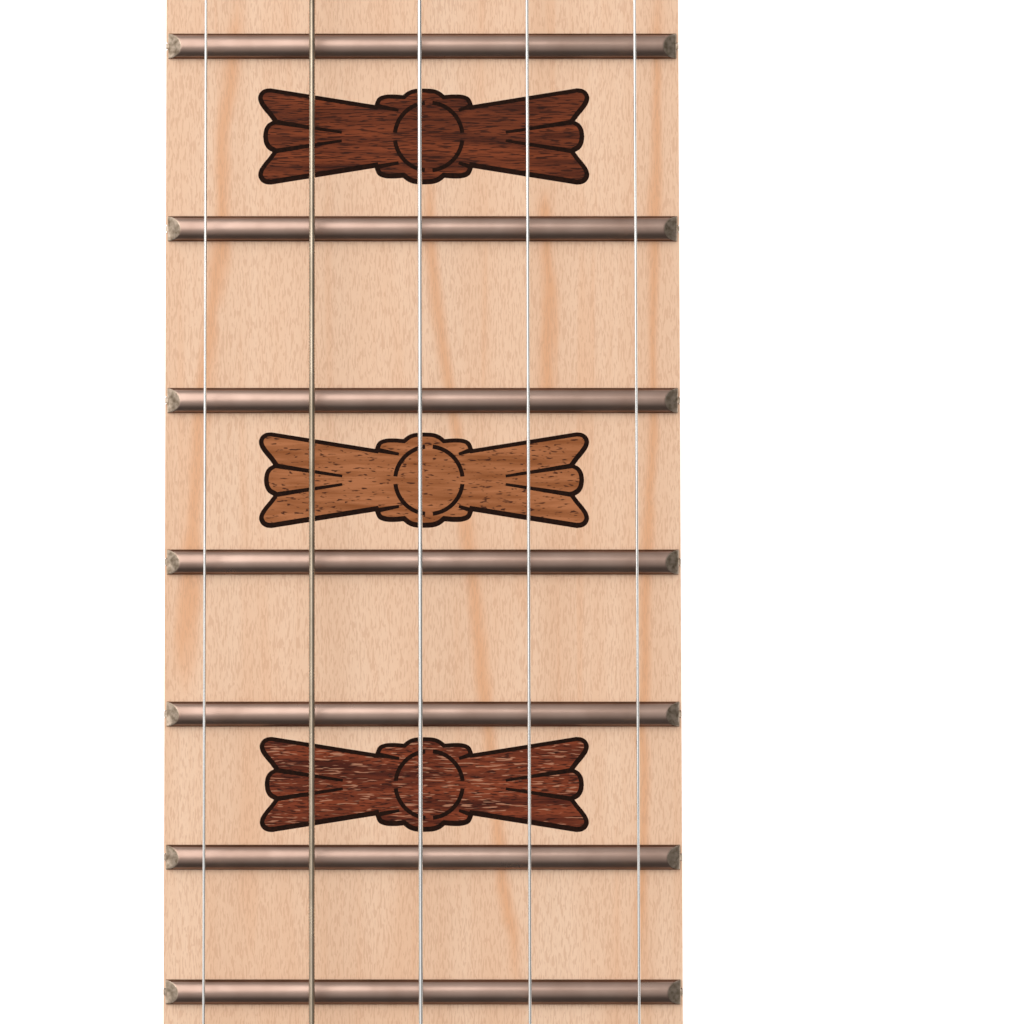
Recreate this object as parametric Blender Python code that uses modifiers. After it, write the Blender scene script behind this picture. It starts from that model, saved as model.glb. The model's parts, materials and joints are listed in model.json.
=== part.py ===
"""Open-back five-string banjo, modelled as the separate pieces it is built from.

The banjo lies on its back: head and fingerboard face +Z, the peghead points to +Y, and the
first string is on the +X side. The pot is built round X = Y = 0 with its back edge at Z = 0.
The neck has its own frame, whose Y axis runs along the fingerboard's surface from the bridge
to the nut. At the end the whole banjo is moved so that its box is centred on the origin.
Every size is in metres and every angle in radians.
"""

import math

import bmesh
import bpy
from mathutils import Matrix, Vector

# Fits
CLEARANCE = 0.0003  # between pieces that only touch
PRESS_GAP = 0.0001  # round frets, inlays and nuts, which are pressed or glued in

# Strings, first to fifth: the fourth is wound
SCALE_LENGTH = 0.66675
FRET_COUNT = 22
FIFTH_STRING_FRET = 5
STRING_DIAMETERS = (0.000254, 0.000305, 0.000406, 0.000584, 0.000254)
SPACING_AT_BRIDGE = 0.0105
SPACING_AT_NUT = 0.0088
STRING_RISE_AT_BRIDGE = 0.0070  # from the fingerboard's plane to a string's centre
STRING_RISE_AT_NUT = 0.0017
STRING_SHORT_OF_POST = 0.0012  # the rest is wound on the post

# Fingerboard
BOARD_THICKNESS = 0.0055
BOARD_WIDTH_AT_NUT = 0.0422  # the full width, carried on past the fifth string to the nut
BOARD_WIDTH_AT_END = 0.0483
BOARD_PAST_LAST_FRET = 0.0083
FIRST_STRING_TO_EDGE = 0.0039
FOURTH_STRING_TO_EDGE = 0.0036
FIFTH_STRING_TO_EDGE = 0.0036
STEP_BEHIND_PEG = 0.0045  # where the bass edge starts to step in, behind the fifth tuner
STEP_BEFORE_FRET = 0.0020  # where the step ends, before the next fret

# Frets
FRET_WIDTH = 0.0023
FRET_HEIGHT = 0.0011
FRET_END_BEVEL = 0.0010
TANG_THICKNESS = 0.0005
TANG_DEPTH = 0.0018

# Inlays
INLAY_FRETS = (5, 7, 10, 12, 15, 17, 19)
INLAY_LENGTH = 0.0306
INLAY_WIDTH = 0.0087
INLAY_THICKNESS = 0.0014

# Nuts
NUT_THICKNESS = 0.0050
NUT_OVER_STRINGS = 0.0002
NUT_BACK_FALL = 0.0006  # how far a string drops across the nut
PIP_DIAMETER = 0.0034
PIP_DEPTH = 0.0040
PIP_OVER_STRING = 0.0005  # above the fifth string's centre
PIP_CHAMFER = 0.0004

# Neck
NECK_DEPTH_AT_NUT = 0.0149
NECK_DEPTH_AT_HEEL = 0.0187
HEEL_DEPTH = 0.0560
HEEL_LENGTH = 0.0750
HEEL_FLAT = 0.0160
BOARD_OVER_HEAD = 0.0035
PEGHEAD_ANGLE = math.radians(11)
PEGHEAD_DROP = 0.0030
PEGHEAD_LENGTH = 0.1600
PEGHEAD_WIDTH = 0.0740
PEGHEAD_WAIST = 0.0660
PEGHEAD_THICKNESS = 0.0140
VOLUTE_LENGTH = 0.0120
VOLUTE_THINNING = 0.0015  # how much the neck thins before it ends in the peghead

# Peghead tuners
TUNER_FIRST_ROW = 0.0500
TUNER_ROW_SPACING = 0.0520
TUNER_SPREAD = 0.0440
POST_DIAMETER = 0.0060
POST_WAIST = 0.0048
POST_HEIGHT = 0.0170
POST_RIM = 0.0030  # height of the full-width rim above the waist
POST_CHAMFER = 0.0008
POST_SLOPE = 0.0012  # height of each slope between full width and waist
POST_SHOULDER = 0.0010  # full width that shows above the bushing's hexagon
POST_HOLE_DIAMETER = 0.0018
POST_HOLE_BELOW_TOP = 0.0055
POST_DEPTH_IN_HOUSING = 0.0065
WINDING_HEIGHT = 0.0075
BUSHING_WALL = 0.0014
BUSHING_HEX = 0.0072  # radius to the corners
BUSHING_HEX_HEIGHT = 0.0026
HOUSING_LENGTH = 0.0215
HOUSING_WIDTH = 0.0170
HOUSING_DEPTH = 0.0100
HOUSING_CORNER = 0.0040
WORM_OFFSET = 0.0088
WORM_SHAFT_DIAMETER = 0.0040
WORM_SHAFT_IN_HOUSING = 0.0060
COLLAR_DIAMETER = 0.0076
COLLAR_LENGTH = 0.0030

# Tuner buttons
BUTTON_LENGTH = 0.0160
BUTTON_WIDTH = 0.0180
BUTTON_THICKNESS = 0.0065
BUTTON_EDGE = 0.0014
BUTTON_GAP = 0.0025

# Fifth tuner
FIFTH_PEG_BEHIND_FRET = 0.0145
FIFTH_PEG_BELOW_BOARD = 0.0050
FIFTH_PEG_TILT = math.radians(8)
SPIGOT_DIAMETER = 0.0056
SPIGOT_DEPTH = 0.0150
PEG_FLANGE_DIAMETER = 0.0088
PEG_FLANGE_THICKNESS = 0.0014
PEG_CORE_DIAMETER = 0.0036
PEG_SLEEVE_LENGTH = 0.0100
PEG_SLEEVE_WAIST = 0.0054
PEG_SLEEVE_RIM = 0.0082
PEG_DRUM_DIAMETER = 0.0140
PEG_DRUM_LENGTH = 0.0095
PEG_DRUM_CHAMFER = 0.0008
PEG_SHAFT_DIAMETER = 0.0030
PEG_SHAFT_DEPTH = 0.0050
PEG_BUTTON_GAP = 0.0010

# Pot
RIM_DIAMETER = 0.2794
RIM_WALL = 0.0140
RIM_DEPTH = 0.0700
RIM_EDGE_DROP = 0.0025  # how far the bearing edge rounds off
HEAD_FILM = 0.0004
FLESH_HOOP_WIDTH = 0.0039
FLESH_HOOP_HEIGHT = 0.0040
FLESH_HOOP_BELOW_HEAD = 0.0097
HOOP_THICKNESS = 0.0055
HOOP_BELOW_HEAD = 0.0004
HOOP_ROUNDING = 0.0010
LIP_OVER_HEAD = 0.0005  # clearance of the fingerboard's end over head and hoop

# Hooks, shoes and band
HOOK_COUNT = 16
HOOK_DIAMETER = 0.0042
HOOK_OFF_HOOP = 0.0005
HOOK_CREST = 0.0006  # centre of the hook's bend above the hoop
HOOK_NUT_DIAMETER = 0.0082
HOOK_NUT_LENGTH = 0.0120
HOOK_NUT_CHAMFER = 0.0004
SHOE_BELOW_HEAD = 0.0327  # from the head's top to the shoe's bottom
SHOE_EYE_HEIGHT = 0.0080
SHOE_FOOT_HEIGHT = 0.0180
SHOE_FOOT_THICKNESS = 0.0035
SHOE_WIDTH = 0.0100
SHOE_NOSE = 0.0022  # metal outside the hook's hole
SHOE_CORNER = 0.0012
BAND_ABOVE_SHOE_BOTTOM = 0.0030
BAND_HEIGHT = 0.0120
BAND_THICKNESS = 0.0012

# Coordinator rod
ROD_HEIGHT = 0.0260
ROD_DIAMETER = 0.0080
ROD_NUT = 0.0070  # radius to the corners
ROD_NUT_LENGTH = 0.0055
ROD_IN_HEEL = 0.0140
ROD_PAST_NUT = 0.0015

# Bridge
BRIDGE_HEIGHT = 0.0159
BRIDGE_BASE_LENGTH = 0.0810
BRIDGE_TOP_LENGTH = 0.0670
BRIDGE_BASE_THICKNESS = 0.0075
BRIDGE_TOP_THICKNESS = 0.0024
BRIDGE_OUTER_FOOT = 0.0085
BRIDGE_MIDDLE_FOOT = 0.0090
BRIDGE_ARCH = 0.0072
BRIDGE_TOE = 0.0012  # how far the outer foot's end leans in over its lowest quarter

# Tailpiece
TAIL_REACH = 0.0520
TAIL_FRONT_WIDTH = 0.0500
TAIL_STRAP_WIDTH = 0.0200
TAIL_THICKNESS = 0.0018
TAIL_HEIGHT = 0.0060
TAIL_CROWN = 0.0012
TAIL_SHOULDER = 0.0012  # rise of the strap over the hoop's inner edge
TAIL_BEND = 0.0005  # rise and inset of the strap at the hoop's outer edge
TAIL_BEND_DROP = 0.0025  # how far below the hoop's top the strap is upright
TAIL_LIP_DIAMETER = 0.0032
TAIL_PIN_DIAMETER = 0.0024
TAIL_PIN_HEIGHT = 0.0034
TAIL_PIN_SPACING = 0.0076
TAIL_PIN_FROM_LIP = 0.0160
TAIL_BELOW_ROD = 0.0075

# How far bodies reach into each other where they are joined to one piece
JOIN_DEPTH = 0.0010

# Facets
RING_STEPS = 64
ROUND_STEPS = 12
NECK_FACETS = 12
STEP_FACETS = 5
ARCH_FACETS = 6

# Places worked out from the sizes above
RIM_RADIUS = RIM_DIAMETER / 2
HEAD_TOP = RIM_DEPTH + CLEARANCE + HEAD_FILM
FLESH_HOOP_TOP = HEAD_TOP - FLESH_HOOP_BELOW_HEAD
HOOP_TOP = HEAD_TOP - HOOP_BELOW_HEAD
HOOP_BOTTOM = FLESH_HOOP_TOP + CLEARANCE
HOOP_INNER = RIM_RADIUS + HEAD_FILM + 2 * CLEARANCE
HOOP_OUTER = HOOP_INNER + HOOP_THICKNESS
HOOK_RADIUS = HOOK_DIAMETER / 2
HOOK_CIRCLE = HOOP_OUTER + HOOK_OFF_HOOP + HOOK_RADIUS
BAND_INNER = RIM_RADIUS + CLEARANCE
BAND_OUTER = BAND_INNER + BAND_THICKNESS
SHOE_BOTTOM = HEAD_TOP - SHOE_BELOW_HEAD
BAND_BOTTOM = SHOE_BOTTOM + BAND_ABOVE_SHOE_BOTTOM
FACET_SHRINK = math.cos(math.pi / RING_STEPS)  # a ring's flats lie this much nearer its axis

NUT_Y = SCALE_LENGTH
BRIDGE_TOP = HEAD_TOP + BRIDGE_HEIGHT
BOARD_PLANE_AT_BRIDGE = BRIDGE_TOP - STRING_RISE_AT_BRIDGE
NECK_TOP = -(BOARD_THICKNESS + CLEARANCE)
LIP_Y = TAIL_REACH - HOOP_OUTER
LIP_Z = HEAD_TOP + TAIL_HEIGHT + 0.6 * TAIL_CROWN
PIN_Y = LIP_Y - TAIL_PIN_FROM_LIP
PIN_Z = HEAD_TOP + TAIL_HEIGHT + TAIL_CROWN

NEAR_ROW = TUNER_FIRST_ROW
FAR_ROW = TUNER_FIRST_ROW + TUNER_ROW_SPACING
TUNER_OUT = TUNER_SPREAD / 2
TUNER_PLACES = {
    1: (TUNER_OUT, NEAR_ROW),
    2: (TUNER_OUT, FAR_ROW),
    3: (-TUNER_OUT, FAR_ROW),
    4: (-TUNER_OUT, NEAR_ROW),
}


def fret_distance(fret):
    """Distance from the bridge to a fret, in equal temperament."""
    return SCALE_LENGTH * 2 ** (-fret / 12)


BOARD_END_Y = fret_distance(FRET_COUNT) - BOARD_PAST_LAST_FRET
NECK_PITCH = math.asin((BOARD_PLANE_AT_BRIDGE - HEAD_TOP - BOARD_OVER_HEAD) / BOARD_END_Y)
BRIDGE_Y = RIM_RADIUS - BOARD_END_Y * math.cos(NECK_PITCH)
PIP_Y = fret_distance(FIFTH_STRING_FRET) + (FRET_WIDTH + PIP_DIAMETER) / 2 + CLEARANCE
FIFTH_PEG_Y = fret_distance(FIFTH_STRING_FRET) + FIFTH_PEG_BEHIND_FRET
STEP_START_Y = FIFTH_PEG_Y + STEP_BEHIND_PEG
STEP_END_Y = fret_distance(FIFTH_STRING_FRET - 1) - STEP_BEFORE_FRET
PEGHEAD_START_Y = NUT_Y + NUT_THICKNESS + CLEARANCE + BOARD_THICKNESS * math.tan(PEGHEAD_ANGLE)


def blend(start, end, share):
    """Value a share of the way from start to end."""
    return start + (end - start) * share


def clamp(value):
    """Value held between 0 and 1."""
    return max(0.0, min(1.0, value))


def treble_edge(y):
    """X of the fingerboard's edge beside the first string."""
    share = (y - BOARD_END_Y) / (NUT_Y - BOARD_END_Y)
    return blend(BOARD_WIDTH_AT_END, BOARD_WIDTH_AT_NUT, share) / 2


def string_x(string, y):
    """X of a string over the fingerboard, in the neck's frame."""
    at_bridge = (3 - string) * SPACING_AT_BRIDGE
    if string == 5:
        return blend(at_bridge, FIFTH_STRING_TO_EDGE - treble_edge(PIP_Y), y / PIP_Y)
    first_at_nut = treble_edge(NUT_Y) - FIRST_STRING_TO_EDGE
    return blend(at_bridge, first_at_nut - (string - 1) * SPACING_AT_NUT, y / NUT_Y)


def bass_edge(y):
    """X of the fingerboard's other edge, which steps in behind the fifth tuner."""
    wide = -treble_edge(y)
    narrow = string_x(4, y) - FOURTH_STRING_TO_EDGE
    share = clamp((y - STEP_START_Y) / (STEP_END_Y - STEP_START_Y))
    return blend(wide, narrow, (1 - math.cos(math.pi * share)) / 2)


def string_rise(y):
    """Height of a string's centre over the fingerboard's plane."""
    return blend(STRING_RISE_AT_BRIDGE, STRING_RISE_AT_NUT, y / NUT_Y)


def frame_at(place, angle, axis):
    """Axis system at a place, turned about one axis of the frame it stands in."""
    return Matrix.Translation(place) @ Matrix.Rotation(angle, 4, axis)


NECK_PLACE = frame_at((0, BRIDGE_Y, BOARD_PLANE_AT_BRIDGE), -NECK_PITCH, "X")
NUT_HALF_WIDTH = (treble_edge(NUT_Y) - bass_edge(NUT_Y)) / 2
NUT_CENTRE_X = (treble_edge(NUT_Y) + bass_edge(NUT_Y)) / 2
PEGHEAD_IN_NECK = frame_at((NUT_CENTRE_X, PEGHEAD_START_Y, -PEGHEAD_DROP), -PEGHEAD_ANGLE, "X")
PEGHEAD_PLACE = NECK_PLACE @ PEGHEAD_IN_NECK
FIFTH_PEG_POINT = (bass_edge(FIFTH_PEG_Y), FIFTH_PEG_Y, -FIFTH_PEG_BELOW_BOARD)
FIFTH_PEG_IN_NECK = frame_at(FIFTH_PEG_POINT, FIFTH_PEG_TILT - math.pi / 2, "Y")
FIFTH_PEG_PLACE = NECK_PLACE @ FIFTH_PEG_IN_NECK
EDGE_TAPER = (BOARD_WIDTH_AT_END - BOARD_WIDTH_AT_NUT) / 2 / (NUT_Y - BOARD_END_Y)
PEG_SEAT = CLEARANCE + PEG_FLANGE_DIAMETER / 2 * (math.tan(FIFTH_PEG_TILT) + EDGE_TAPER)
PEG_FLANGE_TOP = PEG_SEAT + PEG_FLANGE_THICKNESS


# Scene and helpers

for old in list(bpy.data.objects):
    bpy.data.objects.remove(old, do_unlink=True)

PARTS = bpy.data.collections.new("Open_back_banjo")
CUTTERS = bpy.data.collections.new("Cutters")
bpy.context.scene.collection.children.link(PARTS)
bpy.context.scene.collection.children.link(CUTTERS)

# Finishes: colour, roughness, metallic
MAPLE = ((0.80, 0.62, 0.42), 0.45, 0.0)
NECK_MAPLE = ((0.72, 0.50, 0.30), 0.35, 0.0)
WALNUT = ((0.22, 0.12, 0.06), 0.50, 0.0)
MAHOGANY = ((0.42, 0.22, 0.11), 0.50, 0.0)
NICKEL_SILVER = ((0.70, 0.64, 0.56), 0.28, 1.0)
NICKEL = ((0.75, 0.73, 0.70), 0.22, 1.0)
STEEL = ((0.62, 0.62, 0.64), 0.35, 1.0)
BRONZE = ((0.55, 0.40, 0.22), 0.35, 1.0)
BONE = ((0.86, 0.80, 0.66), 0.40, 0.0)
FROSTED_FILM = ((0.88, 0.88, 0.85), 0.60, 0.0)


def empty(name, parent, place):
    """Axis system that pieces hang from."""
    frame = bpy.data.objects.new(name, None)
    PARTS.objects.link(frame)
    frame.parent = parent
    frame.matrix_local = place
    return frame


def piece(name, data, finish, parent, place=None):
    """One node of the banjo, with its own material."""
    obj = bpy.data.objects.new(name, data)
    PARTS.objects.link(obj)
    obj.parent = parent
    if place is not None:
        obj.matrix_local = place
    colour, roughness, metallic = finish
    material = bpy.data.materials.new(name + "_finish")
    material.use_nodes = True
    shader = material.node_tree.nodes["Principled BSDF"]
    shader.inputs["Base Color"].default_value = (*colour, 1.0)
    shader.inputs["Roughness"].default_value = roughness
    shader.inputs["Metallic"].default_value = metallic
    data.materials.append(material)
    return obj


def tool(name, data, parent, place=None):
    """Body that only cuts or joins others."""
    obj = bpy.data.objects.new(name, data)
    CUTTERS.objects.link(obj)
    obj.parent = parent
    if place is not None:
        obj.matrix_local = place
    obj.hide_render = True
    obj.display_type = "WIRE"
    return obj


def boolean(obj, other, operation, solver="EXACT"):
    """Cut other from obj, or join it on."""
    step = obj.modifiers.new(other.name, "BOOLEAN")
    step.operation = operation
    step.solver = solver
    step.object = other


def cut(obj, *cutters, solver="EXACT"):
    """Take each cutter out of obj."""
    for cutter in cutters:
        boolean(obj, cutter, "DIFFERENCE", solver)


def join(obj, *others):
    """Make each other body part of obj."""
    for other in others:
        boolean(obj, other, "UNION")


def round_edges(obj, width, segments):
    """Bevel the sharp edges."""
    step = obj.modifiers.new("Rounded edges", "BEVEL")
    step.width = width
    step.segments = segments
    step.limit_method = "ANGLE"
    step.angle_limit = math.radians(40)


def turn(obj, steps):
    """Spin the object's profile round its Z axis."""
    step = obj.modifiers.new("Turned", "SCREW")
    step.angle = 2 * math.pi
    step.steps = steps
    step.render_steps = steps
    step.use_merge_vertices = True
    step.merge_threshold = 0.00001
    return obj


def profile(points, closed=False):
    """Half section for turn(), as (radius, height) points down its outer side."""
    mesh = bpy.data.meshes.new("profile")
    count = len(points)
    edges = [(i, i + 1) for i in range(count - 1)]
    if closed:
        edges.append((count - 1, 0))
    mesh.from_pydata([(radius, 0, height) for radius, height in points], edges, [])
    return mesh


def mesh_of(curve):
    """Welded mesh of a curve."""
    holder = bpy.data.objects.new("holder", curve)
    bpy.context.scene.collection.objects.link(holder)
    bpy.context.view_layer.update()
    evaluated = holder.evaluated_get(bpy.context.evaluated_depsgraph_get())
    mesh = bpy.data.meshes.new_from_object(evaluated)
    bpy.data.objects.remove(holder, do_unlink=True)
    shape = bmesh.new()
    shape.from_mesh(mesh)
    bmesh.ops.remove_doubles(shape, verts=shape.verts, dist=0.000002)
    bmesh.ops.recalc_face_normals(shape, faces=shape.faces)
    shape.to_mesh(mesh)
    shape.free()
    return mesh


def plate(outline, bottom, top):
    """Flat solid with the given XY outline between two heights."""
    curve = bpy.data.curves.new("outline", "CURVE")
    curve.dimensions = "2D"
    curve.fill_mode = "BOTH"
    curve.extrude = (top - bottom) / 2
    spline = curve.splines.new("POLY")
    spline.points.add(len(outline) - 1)
    for point, (x, y) in zip(spline.points, outline):
        point.co = (x, y, 0, 1)
    spline.use_cyclic_u = True
    mesh = mesh_of(curve)
    mesh.transform(Matrix.Translation((0, 0, (top + bottom) / 2)))
    return mesh


def tube(points, radius, resolution=2, swell=None):
    """Round bar along straight runs between points; swell widens it at a point."""
    curve = bpy.data.curves.new("route", "CURVE")
    curve.dimensions = "3D"
    curve.fill_mode = "FULL"
    curve.bevel_depth = radius
    curve.bevel_resolution = resolution
    curve.use_fill_caps = True
    spline = curve.splines.new("POLY")
    spline.points.add(len(points) - 1)
    for index, (point, place) in enumerate(zip(spline.points, points)):
        point.co = (*place, 1)
        point.radius = swell[index] if swell else 1.0
    return mesh_of(curve)


def cylinder(radius, start, end, sides=ROUND_STEPS):
    """Cylinder from one point to another."""
    start, end = Vector(start), Vector(end)
    axis = end - start
    shape = bmesh.new()
    bmesh.ops.create_cone(
        shape, cap_ends=True, segments=sides, radius1=radius, radius2=radius, depth=axis.length
    )
    turned = Vector((0, 0, 1)).rotation_difference(axis).to_matrix().to_4x4()
    shape.transform(Matrix.Translation((start + end) / 2) @ turned)
    return finished(shape)


def box(low, high):
    """Box between two corners."""
    low, high = Vector(low), Vector(high)
    shape = bmesh.new()
    bmesh.ops.create_cube(shape, size=1)
    shape.transform(Matrix.Translation((low + high) / 2) @ Matrix.Diagonal((high - low).to_4d()))
    return finished(shape)


def finished(shape):
    """Mesh of a bmesh, shaded smooth between its sharp edges."""
    mesh = bpy.data.meshes.new("mesh")
    bmesh.ops.recalc_face_normals(shape, faces=shape.faces)
    shape.to_mesh(mesh)
    shape.free()
    mesh.shade_smooth()
    mesh.set_sharp_from_angle(angle=math.radians(35))
    return mesh


def together(meshes, places=None):
    """One mesh that holds several, each moved to its place."""
    shape = bmesh.new()
    for index, mesh in enumerate(meshes):
        first = len(shape.verts)
        shape.from_mesh(mesh)
        shape.verts.ensure_lookup_table()
        if places:
            bmesh.ops.transform(shape, matrix=places[index], verts=shape.verts[first:])
    return finished(shape)


def all_round(mesh):
    """Copies of a mesh at every hook's place round the pot."""
    pitch = 2 * math.pi / HOOK_COUNT
    places = [Matrix.Rotation((i + 0.5) * pitch - math.pi / 2, 4, "Z") for i in range(HOOK_COUNT)]
    return together([mesh] * HOOK_COUNT, places)


def loft(sections):
    """Solid through closed sections that have the same number of points."""
    shape = bmesh.new()
    rings = [[shape.verts.new(point) for point in section] for section in sections]
    for ring, following in zip(rings, rings[1:]):
        for i, vertex in enumerate(ring):
            j = (i + 1) % len(ring)
            shape.faces.new((vertex, ring[j], following[j], following[i]))
    shape.faces.new(rings[0])
    shape.faces.new(rings[-1])
    return finished(shape)


def mirrored(half):
    """Closed outline from the half on the +X side; a point on the Y axis is kept single."""
    return half + [(-x, y) for x, y in reversed(half) if x > 0]


def smoothed(points, per_span):
    """Points of an open Catmull-Rom curve through the given ones."""
    curve = []
    for i in range(len(points) - 1):
        before = Vector(points[max(i - 1, 0)])
        start, end = Vector(points[i]), Vector(points[i + 1])
        after = Vector(points[min(i + 2, len(points) - 1)])
        for step in range(per_span):
            t = step / per_span
            spread = (end - before) * t + (2 * before - 5 * start + 4 * end - after) * t**2
            bend = (3 * start - before - 3 * end + after) * t**3
            curve.append(tuple(start + (spread + bend) / 2))
    return curve + [tuple(points[-1])]


# Frames
STAND = empty("stand", None, Matrix.Identity(4))
NECK_FRAME = empty("neck_frame", STAND, NECK_PLACE)
PEGHEAD_FRAME = empty("peghead_frame", NECK_FRAME, PEGHEAD_IN_NECK)
FIFTH_FRAME = empty("fifth_tuner_frame", NECK_FRAME, FIFTH_PEG_IN_NECK)


# Pot


def pot_space():
    """Cutter for neck and fingerboard: all that the pot fills, with clearance round it."""
    lip = max(HEAD_TOP, HOOP_TOP) + LIP_OVER_HEAD
    rim = RIM_RADIUS + CLEARANCE
    hoop = max(HOOP_OUTER, RIM_RADIUS + CLEARANCE + FLESH_HOOP_WIDTH) + CLEARANCE
    band = BAND_OUTER + CLEARANCE
    hoop_bottom = FLESH_HOOP_TOP - FLESH_HOOP_HEIGHT - CLEARANCE
    band_bottom = BAND_BOTTOM - CLEARANCE
    band_top = BAND_BOTTOM + BAND_HEIGHT + CLEARANCE
    points = [
        (0, lip),
        (hoop, lip),
        (hoop, hoop_bottom),
        (rim, hoop_bottom),
        (rim, band_top),
        (band, band_top),
        (band, band_bottom),
        (rim, band_bottom),
        (rim, -RIM_DEPTH),
        (0, -RIM_DEPTH),
    ]
    return turn(tool("pot_space", profile(points), STAND), RING_STEPS)


def rod_space():
    """Cutter for the coordinator rod's way through tailpiece, rim and heel."""
    radius = ROD_DIAMETER / 2 + CLEARANCE
    tail = (0, -1.2 * RIM_DIAMETER, ROD_HEIGHT)
    heel = (0, RIM_RADIUS + ROD_IN_HEEL + CLEARANCE, ROD_HEIGHT)
    return tool("rod_space", cylinder(radius, tail, heel), STAND)


def make_rim():
    """Laminated maple shell with a rounded bearing edge at its outer top."""
    inner = RIM_RADIUS - RIM_WALL
    points = [
        (RIM_RADIUS - 0.25 * RIM_WALL, RIM_DEPTH),
        (RIM_RADIUS - 0.3 * RIM_EDGE_DROP, RIM_DEPTH - 0.4 * RIM_EDGE_DROP),
        (RIM_RADIUS, RIM_DEPTH - RIM_EDGE_DROP),
        (RIM_RADIUS, 0),
        (inner, 0),
        (inner, RIM_DEPTH - 2 * RIM_EDGE_DROP),
    ]
    rim = turn(piece("rim", profile(points, closed=True), MAPLE, STAND), RING_STEPS)
    cut(rim, ROD_SPACE)


def make_head():
    """Film over the bearing edge, ending in the flesh hoop that the tension hoop pulls on."""
    skirt = RIM_RADIUS + CLEARANCE
    flesh_bottom = FLESH_HOOP_TOP - FLESH_HOOP_HEIGHT
    edge = RIM_RADIUS - 0.5 * RIM_EDGE_DROP
    inner_bend = RIM_DEPTH + CLEARANCE - 0.9 * RIM_EDGE_DROP
    points = [
        (0, HEAD_TOP),
        (edge, HEAD_TOP),
        (skirt + HEAD_FILM, inner_bend + 0.2 * HEAD_FILM),
        (skirt + HEAD_FILM, FLESH_HOOP_TOP),
        (skirt + FLESH_HOOP_WIDTH, FLESH_HOOP_TOP),
        (skirt + FLESH_HOOP_WIDTH, flesh_bottom),
        (skirt, flesh_bottom),
        (skirt, inner_bend),
        (edge - 0.5 * HEAD_FILM, RIM_DEPTH + CLEARANCE),
        (0, RIM_DEPTH + CLEARANCE),
    ]
    turn(piece("head", profile(points), FROSTED_FILM, STAND), RING_STEPS)


def make_tension_hoop():
    """Rectangular hoop with a J hook at each shoe, ending in its long hex nut."""
    points = [
        (HOOP_OUTER - HOOP_ROUNDING, HOOP_TOP),
        (HOOP_OUTER, HOOP_TOP - HOOP_ROUNDING),
        (HOOP_OUTER, HOOP_BOTTOM),
        (HOOP_INNER, HOOP_BOTTOM),
        (HOOP_INNER, HOOP_TOP),
    ]
    hoop = turn(piece("tension_hoop", profile(points, closed=True), NICKEL, STAND), RING_STEPS)
    nut_top = SHOE_BOTTOM - CLEARANCE
    nut_bottom = nut_top - HOOK_NUT_LENGTH
    crest = HOOP_TOP + HOOK_CREST
    route = [
        (HOOP_OUTER - 0.7 * HOOP_THICKNESS, 0, HOOP_TOP - HOOK_RADIUS),
        (HOOP_OUTER - 0.4 * HOOP_THICKNESS, 0, crest),
        (HOOK_CIRCLE - 0.4 * HOOK_RADIUS, 0, crest),
        (HOOK_CIRCLE, 0, HOOP_TOP - HOOK_RADIUS),
        (HOOK_CIRCLE, 0, nut_top),
        (HOOK_CIRCLE, 0, nut_top - HOOK_NUT_CHAMFER),
        (HOOK_CIRCLE, 0, nut_bottom),
    ]
    nut = HOOK_NUT_DIAMETER / HOOK_DIAMETER
    hook = tube(route, HOOK_RADIUS, resolution=1, swell=[0.8, 1, 1, 1, 1, nut, nut])
    join(hoop, tool("hooks", all_round(hook), STAND))


def make_bracket_band():
    """Metal band round the rim with a shoe for each hook."""
    points = [
        (BAND_OUTER, BAND_BOTTOM + BAND_HEIGHT),
        (BAND_OUTER, BAND_BOTTOM),
        (BAND_INNER, BAND_BOTTOM),
        (BAND_INNER, BAND_BOTTOM + BAND_HEIGHT),
    ]
    band = turn(piece("bracket_band", profile(points, closed=True), NICKEL, STAND), RING_STEPS)
    back = BAND_INNER + 0.5 * BAND_THICKNESS
    foot = BAND_OUTER + SHOE_FOOT_THICKNESS
    nose = HOOK_CIRCLE + HOOK_RADIUS + CLEARANCE + SHOE_NOSE
    eye_top = SHOE_BOTTOM + SHOE_EYE_HEIGHT
    foot_top = SHOE_BOTTOM + SHOE_FOOT_HEIGHT
    corner = SHOE_CORNER
    side = [
        (back, SHOE_BOTTOM),
        (nose - corner, SHOE_BOTTOM),
        (nose, SHOE_BOTTOM + corner),
        (nose, eye_top - corner),
        (nose - corner, eye_top),
        (foot + 2 * corner, eye_top + corner),
        (foot, foot_top - 2 * corner),
        (foot - corner, foot_top),
        (back, foot_top),
    ]
    shoe = plate(side, -SHOE_WIDTH / 2, SHOE_WIDTH / 2)
    shoe.transform(Matrix.Rotation(math.pi / 2, 4, "X"))
    join(band, tool("shoes", all_round(shoe), STAND))
    low = (HOOK_CIRCLE, 0, SHOE_BOTTOM - corner)
    high = (HOOK_CIRCLE, 0, eye_top + 2 * corner)
    hole = cylinder(HOOK_RADIUS + CLEARANCE, low, high, 8)
    cut(band, tool("shoe_holes", all_round(hole), STAND))


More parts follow.
